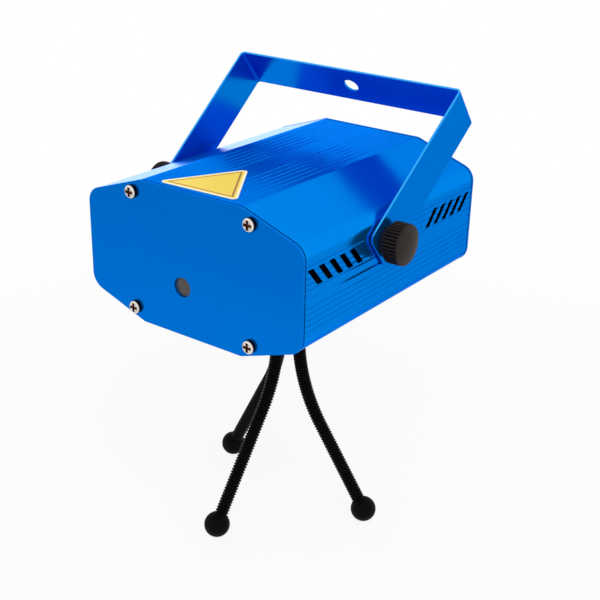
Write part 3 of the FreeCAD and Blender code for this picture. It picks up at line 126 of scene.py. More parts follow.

# Grooves along the sides, which take a share of painted shade
GROOVE_DEPTH = 0.12 * MM  # under the face, at the middle of what is shaded
GROOVE_SPAN = 0.07 * MM  # shaded above and below that
GROOVE_BAND = 11.6 * MM  # half the height of side that they run in
GROOVE_SHADE = 0.22

# Yoke strip, with a painted highlight along its long edges
YOKE_HALF = 8.4 * MM  # half its width
YOKE_HIGHLIGHT_WIDTH = 0.24 * MM  # width of the painted highlight along an edge

# Label film, as on the solid
LABEL_SIDE = 32.7 * MM
LABEL_X = -0.3 * MM
LABEL_Y = 12.9 * MM  # behind the front plate's face
LABEL_TURN = 2.8  # degrees
LABEL_STOPS = (  # millimetres in from the cut edge, and the colour there
    (0.0, "#FFF8DA"), (0.7, "#FFF8DA"), (0.85, "#F9DC58"), (1.5, "#F9DC58"), (1.6, "#A8741E"),
    (2.2, "#A8741E"), (2.3, "#F9DC58"),
)

# Studio, with its lengths in metres
FLOOR_HALF = 0.55
FLOOR_FADE = (0.12, 0.5)  # from the middle, where the floor starts to fade and where it is gone
FLOOR_WHITE_SHARE = 0.88  # of plain white in what is seen of the floor
PAPER_GREY = 0.85
WORLD_LEVEL = 0.72  # of the light on the object, where white is one
CARD_HEIGHT = 0.002
FRONT_CARD = (-0.7, -0.75, 0.05, -0.1)  # its corners: lowest x and y, highest x and y
FRONT_GREYS = ((-0.31, 0.65), (-0.22, 0.82))  # y and grey at the far end of its shading, and at the near end
BACK_CARD = (0.05, 0.1, 0.7, 0.75)
BACK_GREYS = ((0.5, 0.8), (0.1, 0.84))
AIM = (0, 0, 0.1)
KEY_SPOT = (0.6, -0.7, 1.1)
RIM_SPOT = (-0.42, 0.46, 0.12)


def linear(code):
    """The linear colour of an sRGB hex code."""
    parts = np.array([int(code[place:place + 2], 16) for place in (1, 3, 5)]) / 255
    parts = np.where(parts <= 0.04045, parts / 12.92, ((parts + 0.055) / 1.055) ** 2.4)
    return (*parts.tolist(), 1.0)


def per(size):
    """Repeats in a metre of a pattern that repeats after so many millimetres."""
    return 1 / (size * MM)


def feed(tree, node, inputs):
    """Gives each socket, by its name or number, its value, or links it to the output that is given."""
    for name, value in dict(inputs).items():
        if isinstance(value, bpy.types.NodeSocket):
            tree.links.new(value, node.inputs[name])
        else:
            node.inputs[name].default_value = value


def add(tree, kind, inputs=(), **settings):
    """Adds a node: settings are its properties, inputs pairs a socket with a value or an output."""
    node = tree.nodes.new(kind)
    for name, value in settings.items():
        setattr(node, name, value)
    feed(tree, node, inputs)
    return node


def empty_material(name):
    """A material with no nodes: returns it and its tree."""
    material = bpy.data.materials.new(name)
    material.use_nodes = True
    material.node_tree.nodes.clear()
    return material, material.node_tree


def blank_material(name):
    """A material with one Principled shader: returns it, its tree, the shader and the object coordinates."""
    material, tree = empty_material(name)
    shader = add(tree, "ShaderNodeBsdfPrincipled")
    add(tree, "ShaderNodeOutputMaterial", {"Surface": shader.outputs[0]})
    place = add(tree, "ShaderNodeTexCoord").outputs["Object"]
    return material, tree, shader, place


def dress(material, *names):
    """Gives CAD nodes their material."""
    for name in names:
        NODES[name].material_slots[0].material = material


def skin(name, rings, material):
    """A closed skin over rings of points, rings[i, j]: each ring closes on itself, each joins the next,
    and a fan about its middle closes the first and the last."""
    count, around = rings.shape[:2]
    here = np.arange(count * around).reshape(count, around)
    beside = np.roll(here, -1, axis=1)
    quads = np.stack([here[:-1], beside[:-1], beside[1:], here[1:]], axis=-1).reshape(-1, 4)
    first = count * around
    start_fan = np.stack([np.full(around, first), beside[0], here[0]], axis=-1)
    end_fan = np.stack([np.full(around, first + 1), here[-1], beside[-1]], axis=-1)
    middles = rings[[0, -1]].mean(axis=1)
    points = np.concatenate([rings.reshape(-1, 3), middles])
    mesh = bpy.data.meshes.new(name)
    mesh.from_pydata(points.tolist(), [], quads.tolist() + start_fan.tolist() + end_fan.tolist())
    shape = bmesh.new()
    shape.from_mesh(mesh)
    bmesh.ops.recalc_face_normals(shape, faces=shape.faces)
    shape.to_mesh(mesh)
    shape.free()
    mesh.shade_smooth()
    mesh.materials.append(material)
    piece = bpy.data.objects.new(name, mesh)
    bpy.context.scene.collection.objects.link(piece)
    return piece


def turned_skin(name, middle, along, across, lengths, radii, material):
    """A turned shape: radii[i, j] from the axis at lengths[i] along it, j round the axis."""
    along, across = np.array(along), np.array(across)
    third = np.cross(along, across)
    angles = np.linspace(0, 2 * np.pi, radii.shape[1], endpoint=False)
    round_axis = np.cos(angles)[:, None] * across + np.sin(angles)[:, None] * third
    rings = np.array(middle) + lengths[:, None, None] * along + radii[:, :, None] * round_axis
    return skin(name, rings, material)


plate_low, plate_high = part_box("front_plate")
plate_middle = (plate_low + plate_high) / 2
shell_low, shell_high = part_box("upper_shell")
knob_low, knob_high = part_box("right_knob")
screws_low, screws_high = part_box("front_plate_screws")
fan_low, fan_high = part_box("fan_screws")
SHELL_MIDDLE = (shell_low.y + shell_high.y) / 2
SHELL_HALF = (shell_high.y - shell_low.y) / 2
VENT_LEVEL = shell_high.x - VENT_SINK - VENT_WALL / 2
VENT_MIDDLE = plate_middle.z + VENT_RISE
GROOVE_LEVEL = shell_high.x - GROOVE_DEPTH


# Materials

def hollows(tree, place):
    """How much painted shade the hollows of the shells take: one on the walls of the vent slots just under the
    face of each side and in the step round each end behind the plates, a share in the grooves along the sides,
    and nought elsewhere."""
    parts = add(tree, "ShaderNodeSeparateXYZ", {0: place})
    side = add(tree, "ShaderNodeMath", {0: parts.outputs[0]}, operation="ABSOLUTE").outputs[0]
    height = parts.outputs[2]
    # painted shade on the vent walls and in the end steps
    under = add(tree, "ShaderNodeMath", {0: side, 1: VENT_LEVEL, 2: VENT_WALL / 2}, operation="COMPARE")
    level = add(tree, "ShaderNodeMath", {0: height, 1: VENT_MIDDLE, 2: VENT_HALF}, operation="COMPARE")
    slot = add(tree, "ShaderNodeMath", {0: under.outputs[0], 1: level.outputs[0]}, operation="MULTIPLY")
    along = add(tree, "ShaderNodeMath", {0: parts.outputs[1], 1: SHELL_MIDDLE}, operation="SUBTRACT")
    away = add(tree, "ShaderNodeMath", {0: along.outputs[0]}, operation="ABSOLUTE")
    step = add(tree, "ShaderNodeMath", {0: away.outputs[0], 1: SHELL_HALF - STEP_LENGTH},
               operation="GREATER_THAN")
    # a share of painted shade in the grooves along the sides
    sunk = add(tree, "ShaderNodeMath", {0: side, 1: GROOVE_LEVEL, 2: GROOVE_SPAN}, operation="COMPARE")
    band = add(tree, "ShaderNodeMath", {0: height, 1: plate_middle.z, 2: GROOVE_BAND}, operation="COMPARE")
    groove = add(tree, "ShaderNodeMath", {0: sunk.outputs[0], 1: band.outputs[0]}, operation="MULTIPLY")
    painted_groove_shade = add(tree, "ShaderNodeMath", {0: groove.outputs[0], 1: GROOVE_SHADE}, operation="MULTIPLY")
    dark = add(tree, "ShaderNodeMath", {0: slot.outputs[0], 1: step.outputs[0]}, operation="MAXIMUM")
    most = add(tree, "ShaderNodeMath", {0: dark.outputs[0], 1: painted_groove_shade.outputs[0]}, operation="MAXIMUM")
    return most.outputs[0]


def painted_edge_highlight(tree, place):
    """One along the two long edges of the yoke's strip, where a painted highlight goes, and nought between
    them: the distance across the strip is square to the pivot and to the line from the pivot to the hole."""
    pivot = Vector(JOINTS["yoke_tilt"]["pos_m"])
    hole = Vector(MOUNTS["hanging_hole"]["pos_m"])
    across = Vector(JOINTS["yoke_tilt"]["axis"]).cross(hole - pivot).normalized()
    off = add(tree, "ShaderNodeVectorMath", {0: place, 1: pivot}, operation="SUBTRACT")
    reach = add(tree, "ShaderNodeVectorMath", {0: off.outputs[0], 1: across}, operation="DOT_PRODUCT")
    away = add(tree, "ShaderNodeMath", {0: reach.outputs["Value"]}, operation="ABSOLUTE")
    highlit = add(tree, "ShaderNodeMapRange", {"Value": away.outputs[0], "From Min": YOKE_HALF - YOKE_HIGHLIGHT_WIDTH,
                                            "From Max": YOKE_HALF - YOKE_HIGHLIGHT_WIDTH / 2})
    return highlit.outputs[0]


def blue_anodised(name, pale, deep, line, line_depth, gloss, places=None, other=None):
    """Aluminium, satin etched and dyed blue in its oxide: a metal mirror blurred by the etch, as blue as the
    dye in what it mirrors, with a little of the dye's own colour lit from within. Die lines run along the
    case where a section was extruded. The places that differ take the other colour: painted shade in the
    hollows of the extrusion, and a painted highlight along the long edges of the strip."""
    material, tree, shader, place = blank_material(name)
    dye = add(tree, "ShaderNodeTexNoise", {"Vector": place, "Scale": per(28), "Detail": 2.0})
    blue = add(tree, "ShaderNodeMix", {"Factor": dye.outputs["Fac"], "A": linear(pale), "B": linear(deep)},
               data_type="RGBA")
    if places:
        blue = add(tree, "ShaderNodeMix", {"Factor": places(tree, place), "A": blue.outputs["Result"],
                                           "B": linear(other)}, data_type="RGBA")
    stretched = add(tree, "ShaderNodeMapping", {"Vector": place, "Scale": (1.0, 0.012, 1.0)})
    lines = add(tree, "ShaderNodeTexNoise", {"Vector": stretched.outputs[0], "Scale": per(line),
                                             "Detail": 3.0})
    rough = add(tree, "ShaderNodeMapRange", {"Value": lines.outputs["Fac"], "To Min": gloss - 0.03,
                                             "To Max": gloss + 0.03})
    bump = add(tree, "ShaderNodeBump", {"Height": lines.outputs["Fac"], "Strength": 0.5,
                                        "Distance": line_depth})
    feed(tree, shader, {"Base Color": blue.outputs["Result"], "Roughness": rough.outputs[0],
                        "Normal": bump.outputs[0], "Metallic": 0.87, "Specular IOR Level": 0.0,
                        "Specular Tint": linear("#7CB0F0")})
    return material


def worked_metal(name, colour, dark, line, stretch, roughness):
    """A bare or plated metal: fine tool marks vary its gloss and shade."""
    material, tree, shader, place = blank_material(name)
    marks = add(tree, "ShaderNodeMapping", {"Vector": place, "Scale": stretch})
    grain = add(tree, "ShaderNodeTexNoise", {"Vector": marks.outputs[0], "Scale": per(line), "Detail": 3.0})
    shade = add(tree, "ShaderNodeMix", {"Factor": grain.outputs["Fac"], "A": linear(dark),
                                        "B": linear(colour)}, data_type="RGBA")
    rough = add(tree, "ShaderNodeMapRange", {"Value": grain.outputs["Fac"], "To Min": roughness * 0.7,
                                             "To Max": roughness * 1.3})
    bump = add(tree, "ShaderNodeBump", {"Height": grain.outputs["Fac"], "Strength": 0.3,
                                        "Distance": 0.01 * MM})
    feed(tree, shader, {"Base Color": shade.outputs["Result"], "Roughness": rough.outputs[0],
                        "Normal": bump.outputs[0], "Metallic": 1.0})
    return material


def moulded(name, colour, pale, grain, roughness, specular):
    """A moulded plastic or rubber: the mould's spark-eroded grain breaks up its gloss, and slow changes of
    shade come from the pigment."""
    material, tree, shader, place = blank_material(name)
    pigment = add(tree, "ShaderNodeTexNoise", {"Vector": place, "Scale": per(9), "Detail": 2.0})
    shade = add(tree, "ShaderNodeMix", {"Factor": pigment.outputs["Fac"], "A": linear(colour),
                                        "B": linear(pale)}, data_type="RGBA")
    texture = add(tree, "ShaderNodeTexNoise", {"Vector": place, "Scale": per(grain), "Detail": 2.0})
    rough = add(tree, "ShaderNodeMapRange", {"Value": texture.outputs["Fac"], "To Min": roughness - 0.1,
                                             "To Max": roughness + 0.1})
    bump = add(tree, "ShaderNodeBump", {"Height": texture.outputs["Fac"], "Strength": 0.35,
                                        "Distance": 0.03 * MM})
    feed(tree, shader, {"Base Color": shade.outputs["Result"], "Roughness": rough.outputs[0],
                        "Normal": bump.outputs[0], "Specular IOR Level": specular})
    return material


def ribbed_phenolic(name, middle, radius, shoulder):
    """Moulded phenolic: brown and satin on the ribs and the face, with the flutes between the ribs darkened to
    black, partly by dirt and partly by painted shade. A flute is where the rim, inside the shoulder, lies
    under the ribs' own radius."""
    material, tree, shader, place = blank_material(name)
    pigment = add(tree, "ShaderNodeTexNoise", {"Vector": place, "Scale": per(5), "Detail": 3.0})
    brown = add(tree, "ShaderNodeMix", {"Factor": pigment.outputs["Fac"], "A": linear("#171210"),
                                        "B": linear("#2A211B")}, data_type="RGBA")
    away = add(tree, "ShaderNodeVectorMath", {0: place, 1: (0, middle.y, middle.z)}, operation="SUBTRACT")
    across = add(tree, "ShaderNodeVectorMath", {0: away.outputs[0], 1: (0, 1, 1)}, operation="MULTIPLY")
    reach = add(tree, "ShaderNodeVectorMath", {0: across.outputs[0]}, operation="LENGTH")
    starts, whole = FLUTE_DIRT_AND_SHADE
    sunk = add(tree, "ShaderNodeMapRange", {"Value": reach.outputs["Value"], "From Min": radius - starts,
                                            "From Max": radius - whole})
    parts = add(tree, "ShaderNodeSeparateXYZ", {0: place})
    out = add(tree, "ShaderNodeMath", {0: parts.outputs[0]}, operation="ABSOLUTE")
    rim = add(tree, "ShaderNodeMath", {0: out.outputs[0], 1: shoulder}, operation="LESS_THAN")
    flute = add(tree, "ShaderNodeMath", {0: sunk.outputs[0], 1: rim.outputs[0]}, operation="MULTIPLY")
    # the flutes turn black: partly dirt, partly painted shade
    shade = add(tree, "ShaderNodeMix", {"Factor": flute.outputs[0], "A": brown.outputs["Result"],
                                        "B": linear("#020202")}, data_type="RGBA")
    grain = add(tree, "ShaderNodeTexNoise", {"Vector": place, "Scale": per(0.5), "Detail": 2.0})
    satin = add(tree, "ShaderNodeMapRange", {"Value": grain.outputs["Fac"], "To Min": 0.32, "To Max": 0.52})
    rough = add(tree, "ShaderNodeMath", {0: satin.outputs[0], 1: flute.outputs[0]}, operation="MAXIMUM")
    bump = add(tree, "ShaderNodeBump", {"Height": grain.outputs["Fac"], "Strength": 0.35,
                                        "Distance": 0.03 * MM})
    feed(tree, shader, {"Base Color": shade.outputs["Result"], "Roughness": rough.outputs[0],
                        "Normal": bump.outputs[0], "Specular IOR Level": 0.14})
    return material


def nickel_screw(name, low, high, outer):
    """Bright nickel plate on steel: a near mirror, browned by dirt in the cross recess of each head, and with
    painted shade, near black, down the side of the head to the plate. The four screws stand at the corners of
    the box from low to high, and outer is how far the heads reach from the middle of the case."""
    material, tree, shader, place = blank_material(name)
    middle = ((low.x + high.x) / 2, SHELL_MIDDLE, (low.z + high.z) / 2)
    corner = ((high.x - low.x) / 2 - SCREW_HEAD, 0, (high.z - low.z) / 2 - SCREW_HEAD)
    off = add(tree, "ShaderNodeVectorMath", {0: place, 1: middle}, operation="SUBTRACT")
    folded = add(tree, "ShaderNodeVectorMath", {0: off.outputs[0]}, operation="ABSOLUTE")
    away = add(tree, "ShaderNodeVectorMath", {0: folded.outputs[0], 1: corner}, operation="SUBTRACT")
    across = add(tree, "ShaderNodeVectorMath", {0: away.outputs[0], 1: (1, 0, 1)}, operation="MULTIPLY")
    radius = add(tree, "ShaderNodeVectorMath", {0: across.outputs[0]}, operation="LENGTH").outputs["Value"]
    depth = add(tree, "ShaderNodeSeparateXYZ", {0: away.outputs[0]}).outputs[1]
    inner = add(tree, "ShaderNodeMapRange", {"Value": radius, "From Min": RECESS_RADII[0],
                                             "From Max": RECESS_RADII[1]})
    sunk = add(tree, "ShaderNodeMapRange", {"Value": depth, "From Min": outer,
                                            "From Max": outer - RECESS_DEPTH})
    dirt = add(tree, "ShaderNodeMath", {0: inner.outputs[0], 1: sunk.outputs[0]}, operation="MULTIPLY")
    edge = add(tree, "ShaderNodeMapRange", {"Value": depth, "From Min": outer - SIDE_DEPTHS[0],
                                            "From Max": outer - SIDE_DEPTHS[1]})
    rim = add(tree, "ShaderNodeMapRange", {"Value": radius, "From Min": SIDE_RADII[0],
                                           "From Max": SIDE_RADII[1]})
    painted_side_shade = add(tree, "ShaderNodeMath", {0: edge.outputs[0], 1: rim.outputs[0]}, operation="MULTIPLY")
    smear = add(tree, "ShaderNodeTexNoise", {"Vector": place, "Scale": per(0.8), "Detail": 2.0})
    plate = add(tree, "ShaderNodeMix", {"Factor": smear.outputs["Fac"], "A": linear("#F2EDE6"),
                                        "B": linear("#DCD5CC")}, data_type="RGBA")
    browned = add(tree, "ShaderNodeMix", {"Factor": dirt.outputs[0], "A": plate.outputs["Result"],
                                          "B": linear("#6A3826")}, data_type="RGBA")
    # painted shade, near black, down the side of each head to the plate
    shade = add(tree, "ShaderNodeMix", {"Factor": painted_side_shade.outputs[0], "A": browned.outputs["Result"],
                                        "B": linear("#101018")}, data_type="RGBA")
    rough = add(tree, "ShaderNodeMapRange", {"Value": dirt.outputs[0], "To Min": 0.18, "To Max": 0.6})
    feed(tree, shader, {"Base Color": shade.outputs["Result"], "Roughness": rough.outputs[0],
                        "Metallic": 1.0})
    return material


def label_vinyl(name):
    """Printed vinyl film: flat yellow with a pale cut edge and a thin amber line inside it, under a soft
    gloss. The distance from the nearest side of the triangle gives the edge and the line."""
    material, tree, shader, place = blank_material(name)
    middle = (LABEL_X, plate_low.y + LABEL_Y, 0)
    away = add(tree, "ShaderNodeVectorMath", {0: place, 1: middle}, operation="SUBTRACT").outputs[0]
    out = -1.0  # less than any distance here
    for turn in (-90, 30, 150):  # the ways that the three sides face, in degrees
        angle = math.radians(LABEL_TURN + turn)
        way = (math.cos(angle), math.sin(angle), 0)
        reach = add(tree, "ShaderNodeVectorMath", {0: away, 1: way}, operation="DOT_PRODUCT")
        out = add(tree, "ShaderNodeMath", {0: reach.outputs["Value"], 1: out}, operation="MAXIMUM").outputs[0]
    inside = LABEL_SIDE / math.sqrt(12)  # radius of the circle that touches the three sides
    inset = add(tree, "ShaderNodeMath", {0: inside, 1: out}, operation="SUBTRACT").outputs[0]
    ink = add(tree, "ShaderNodeTexNoise", {"Vector": place, "Scale": per(3), "Detail": 3.0})
    yellow = add(tree, "ShaderNodeMix", {"Factor": ink.outputs["Fac"], "A": linear("#F9DA4C"),
                                         "B": linear("#F4D340")}, data_type="RGBA")
    widest = LABEL_STOPS[-1][0] * MM
    share = add(tree, "ShaderNodeMath", {0: inset, 1: widest}, operation="DIVIDE", use_clamp=True)
    ramp = add(tree, "ShaderNodeValToRGB", {"Fac": share.outputs[0]})
    for number, (distance, colour) in enumerate(LABEL_STOPS):
        places = ramp.color_ramp.elements
        stop = places[number] if number < 2 else places.new(1.0)
        stop.position = distance * MM / widest
        stop.color = linear(colour)
    within = add(tree, "ShaderNodeMath", {0: inset, 1: widest}, operation="GREATER_THAN")
    printed = add(tree, "ShaderNodeMix", {"Factor": within.outputs[0], "A": ramp.outputs["Color"],
                                          "B": yellow.outputs["Result"]}, data_type="RGBA")
    film = add(tree, "ShaderNodeTexNoise", {"Vector": place, "Scale": per(0.6), "Detail": 2.0})
    rough = add(tree, "ShaderNodeMapRange", {"Value": film.outputs["Fac"], "To Min": 0.35, "To Max": 0.5})
    bump = add(tree, "ShaderNodeBump", {"Height": film.outputs["Fac"], "Strength": 0.2,
                                        "Distance": 0.01 * MM})
    feed(tree, shader, {"Base Color": printed.outputs["Result"], "Roughness": rough.outputs[0],
                        "Normal": bump.outputs[0], "Specular IOR Level": 0.2})
    return material


def tinted_glass(name, colour, pale, transmission):
    """Polished glass: sharp reflections over a tint, with a faint haze of dust that softens them."""
    material, tree, shader, place = blank_material(name)
    dust = add(tree, "ShaderNodeTexNoise", {"Vector": place, "Scale": per(1.2), "Detail": 4.0})
    shade = add(tree, "ShaderNodeMix", {"Factor": dust.outputs["Fac"], "A": linear(colour),
                                        "B": linear(pale)}, data_type="RGBA")
    rough = add(tree, "ShaderNodeMapRange", {"Value": dust.outputs["Fac"], "To Min": 0.03, "To Max": 0.12})
    feed(tree, shader, {"Base Color": shade.outputs["Result"], "Roughness": rough.outputs[0],
                        "Transmission Weight": transmission})
    return material


def solder_mask(name):
    """Glass-epoxy board under green solder mask: paler lines show where copper tracks lie under it."""
    material, tree, shader, place = blank_material(name)
    tracks = add(tree, "ShaderNodeTexVoronoi", {"Vector": place, "Scale": per(2.5)}, distance="MANHATTAN",
                 feature="DISTANCE_TO_EDGE")
    edge = add(tree, "ShaderNodeMapRange", {"Value": tracks.outputs["Distance"], "From Min": 0.05,
                                            "From Max": 0.12})
    shade = add(tree, "ShaderNodeMix", {"Factor": edge.outputs[0], "A": linear("#2F7A46"),
                                        "B": linear("#14502C")}, data_type="RGBA")
    bump = add(tree, "ShaderNodeBump", {"Height": edge.outputs[0], "Strength": 0.4, "Distance": 0.03 * MM})
    feed(tree, shader, {"Base Color": shade.outputs["Result"], "Normal": bump.outputs[0], "Roughness": 0.35})
    return material


# The extrusion takes painted shade, near black, on its vent walls and end steps, and a share of it in its side
# grooves.
EXTRUDED = blue_anodised("anodised_extrusion", "#008BEE", "#0084E6", line=0.7, line_depth=0.003 * MM,
                         gloss=0.19, places=hollows, other="#010610")
SHEET = blue_anodised("anodised_sheet", "#007CE7", "#0076DF", line=0.9, line_depth=0.001 * MM, gloss=0.22)
# The strip takes a painted highlight, pale blue, along its two long edges.
STRIP = blue_anodised("anodised_strip", "#0084E6", "#007DDE", line=0.9, line_depth=0.001 * MM, gloss=0.22,
                      places=painted_edge_highlight, other="#35A8F6")
KNOB = ribbed_phenolic("moulded_phenolic", (knob_low + knob_high) / 2, (knob_high.z - knob_low.z) / 2,
                       knob_high.x - KNOB_DOME - KNOB_EDGE)
BLACK_ABS = moulded("moulded_black_abs", "#0E0D0C", "#171513", grain=0.5, roughness=0.5, specular=0.3)
LEG_VINYL = moulded("vinyl_gooseneck", "#020202", "#030303", grain=0.4, roughness=0.45, specular=0.06)
RUBBER = moulded("moulded_rubber", "#030303", "#050504", grain=0.6, roughness=0.6, specular=0.06)
NYLON = moulded("natural_nylon", "#E8E4D6", "#F2EFE4", grain=0.8, roughness=0.45, specular=0.5)
STEEL = worked_metal("zinc_plated_steel", "#C9CCCF", "#A9ACB0", line=0.4, stretch=(1.0, 1.0, 1.0),
                     roughness=0.32)
NICKEL = worked_metal("nickel_plate", "#EFEAE3", "#D6D0C8", line=0.4, stretch=(1.0, 1.0, 1.0),
                      roughness=0.25)
BRASS = worked_metal("turned_brass", "#D9B45C", "#B8923E", line=0.3, stretch=(0.05, 1.0, 1.0),
                     roughness=0.3)
RAW_ALUMINIUM = worked_metal("mill_aluminium", "#D5D7DA", "#B4B7BB", line=0.5, stretch=(1.0, 0.03, 1.0),
                             roughness=0.38)
DARK_GLASS = tinted_glass("smoked_glass", "#3C3835", "#4E4945", transmission=0.0)
CLEAR_GLASS = tinted_glass("clear_glass", "#F2F6F5", "#E6ECEA", transmission=1.0)
LABEL = label_vinyl("printed_vinyl")
BOARD = solder_mask("solder_mask")
SCREW = nickel_screw("nickel_screw", screws_low, screws_high, SHELL_MIDDLE - screws_low.y)
FAN_SCREW = nickel_screw("nickel_fan_screw", fan_low, fan_high, fan_high.y - SHELL_MIDDLE)

dress(SHEET, "front_plate", "rear_plate")
dress(STRIP, "yoke")
dress(SCREW, "front_plate_screws", "rear_plate_screws")
dress(FAN_SCREW, "fan_screws")

SLOT_FINISHES = {
    "blue_anodised": EXTRUDED, "screw_nickel": NICKEL, "knob_black": KNOB, "black_plastic": BLACK_ABS,
    "leg_black": LEG_VINYL, "black_rubber": RUBBER, "steel": STEEL, "brass": BRASS,
    "dark_glass": DARK_GLASS, "clear_glass": CLEAR_GLASS, "label_film": LABEL, "board_green": BOARD,
    "raw_aluminium": RAW_ALUMINIUM, "gear_white": NYLON,
}
for name, node in NODES.items():
    given = node.material_slots[0].material.name.split(".")[0]
    if given in SLOT_FINISHES:
        dress(SLOT_FINISHES[given], name)


# Pieces that replace solids

def gooseneck(index):
    """A ribbed tube on a leg's line: down from the head, round the bend, then straight to the foot.
    At length s past the root the line has turned by s over the bend's radius, up to the whole bend;
    the tube's radius rises and falls once in each pitch, each flank eased as 3h2 - 2h3."""
    name = "leg_" + str(index + 1)
    joint = JOINTS[name + "_bend"]
    root = np.array(joint["pos_m"])
    across = np.array(joint["axis"])
    up = np.array((0.0, 0.0, 1.0))
    out = np.cross(up, across)
    bend = math.radians(LEG_BENDS[index])
    radius = LEG_BEND_RADII[index]
    drop = root[2] - radius * math.sin(bend) - FOOT_RADIUS
    last = drop / math.cos(bend)
    length = LEG_ROOT_DEPTH + radius * bend + last - FOOT_SEAT
    ribs = round(length / RIB_PITCH)
    place = np.linspace(0, ribs, ribs * RIB_STEPS + 1)
    run = place * (length / ribs) - LEG_ROOT_DEPTH
    turn = np.clip(run / radius, 0, bend)
    beyond = np.maximum(run - radius * bend, 0)
    outward = radius * (1 - np.cos(turn)) + beyond * math.sin(bend)
    downward = radius * np.sin(turn) + beyond * math.cos(bend) + np.minimum(run, 0)
    line = root + outward[:, None] * out - downward[:, None] * up
    side = np.cos(turn)[:, None] * out + np.sin(turn)[:, None] * up
    height = np.interp(place % 1.0, RIB_SHARES, RIB_HEIGHTS)
    size = LEG_VALLEY + (LEG_CREST - LEG_VALLEY) * height * height * (3 - 2 * height)
    angles = np.linspace(0, 2 * np.pi, LEG_AROUND, endpoint=False)[None, :, None]
    round_line = np.cos(angles) * side[:, None] + np.sin(angles) * across
    rings = line[:, None] + size[:, None, None] * round_line
    piece = skin(name + "_gooseneck", rings, LEG_VINYL)
    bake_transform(piece)
    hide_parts(name + "_sleeve", name + "_core")
    way = math.sin(bend) * out - math.cos(bend) * up
    reach = radius * (1 - math.cos(bend)) + last * math.sin(bend)
    foot = root + reach * out - (root[2] - FOOT_RADIUS) * up
    return foot, way, across


def ball_foot(index, middle, way, across):
    """A rubber ball on a leg's end: a sphere from its far pole to a small rounded lip round the leg,
    with the mould's seam standing up where the two halves met."""
    name = "leg_" + str(index + 1)
    lip = math.asin(FOOT_LIP / FOOT_RADIUS)
    polar = np.linspace(FOOT_POLE, math.pi - lip, FOOT_STEPS)
    curl = np.linspace(0, math.pi, LIP_STEPS)[1:]
    curl_radius = (FOOT_LIP - LEG_CREST) / 2
    lip_height = FOOT_RADIUS * math.cos(lip)
    lengths = np.concatenate([FOOT_RADIUS * np.cos(polar), -lip_height - curl_radius * np.sin(curl)])
    radii = np.concatenate([FOOT_RADIUS * np.sin(polar), FOOT_LIP - curl_radius * (1 - np.cos(curl))])
    angles = np.linspace(0, 2 * np.pi, FOOT_AROUND, endpoint=False)
    seam = FOOT_SEAM * np.exp(-(np.sin(angles) / SEAM_SPREAD) ** 2)
    raised = np.minimum(radii / FOOT_RADIUS, 1)[:, None] * seam
    shape = turned_skin(name + "_ball", middle, way, across, lengths, radii[:, None] + raised - FOOT_SEAM,
                        RUBBER)
    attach(shape, name)
    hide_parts(name + "_foot")


def thumb_knob(side, sign):
    """A moulded knob on the pivot's axis: a ribbed rim, an eased edge and a domed face.
    The rim's radius dips by a rounded flute between ribs, as a power of half of one minus the cosine."""
    low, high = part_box(side + "_knob")
    middle = (low + high) / 2
    inside = low.x if sign > 0 else high.x
    length = high.x - low.x
    radius = (high.z - low.z) / 2
    shoulder = length - KNOB_DOME - KNOB_EDGE
    rim = np.linspace(0, shoulder, RIM_RINGS)
    round_edge = np.linspace(0, math.pi / 2, EDGE_STEPS)[1:]
    edge_lengths = shoulder + KNOB_EDGE * np.sin(round_edge)
    edge_radii = radius - KNOB_EDGE * (1 - np.cos(round_edge))
    face = np.linspace(1, FACE_POLE_SHARE, FACE_STEPS)[1:]
    face_radii = (radius - KNOB_EDGE) * face
    face_lengths = length - KNOB_DOME * face ** 2
    lengths = np.concatenate([[0], rim, edge_lengths, face_lengths])
    back = radius - KNOB_FLUTE * KNOB_BACK_SHARE
    radii = np.concatenate([[back], np.full(RIM_RINGS, radius), edge_radii, face_radii])
    past, over = FLUTE_END_SHARES
    fade = np.clip((shoulder + KNOB_EDGE * past - lengths) / (KNOB_EDGE * over), 0, 1)
    fade[0] = 0
    angles = np.linspace(0, 2 * np.pi, KNOB_RIBS * KNOB_RIB_STEPS, endpoint=False)
    flute = KNOB_FLUTE * (0.5 - 0.5 * np.cos(KNOB_RIBS * angles)) ** FLUTE_POWER
    shape = turned_skin(side + "_thumb_knob", (inside, middle.y, middle.z), (sign, 0, 0), (0, 0, 1),
                        lengths, radii[:, None] - fade[:, None] * flute, KNOB)
    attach(shape, side + "_knob")
    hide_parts(side + "_knob")


for leg in range(LEG_COUNT):
    ball_foot(leg, *gooseneck(leg))
thumb_knob("right", 1)
thumb_knob("left", -1)


# Camera

def place_camera():
    """The camera turns about the middle of the front plate's face by azimuth and elevation, rolls, then
    slides."""
    angles = (CAMERA_AZIMUTH, CAMERA_ELEVATION, CAMERA_ROLL)
    azimuth, elevation, roll = (math.radians(value) for value in angles)
    back = Vector((math.sin(azimuth) * math.cos(elevation), -math.cos(azimuth) * math.cos(elevation),
                   math.sin(elevation)))
    level = Vector((math.cos(azimuth), math.sin(azimuth), 0))
    upright = back.cross(level)
    right = math.cos(roll) * level + math.sin(roll) * upright
    up = math.cos(roll) * upright - math.sin(roll) * level
    aim = Vector((plate_middle.x, plate_low.y, plate_middle.z))
    spot = aim + CAMERA_RIGHT * right + CAMERA_UP * up + CAMERA_BACK * back
    lens = bpy.data.cameras.new("camera")
    lens.sensor_width = SENSOR
    lens.lens = SENSOR * FOCAL_PIXELS / IMAGE_PIXELS
    lens.clip_start = CAMERA_NEAR
    camera = bpy.data.objects.new("camera", lens)
    bpy.context.scene.collection.objects.link(camera)
    turn = Matrix((right, up, back)).transposed().to_4x4()
    camera.matrix_world = Matrix.Translation(spot) @ turn
    bpy.context.scene.camera = camera


place_camera()


# Studio

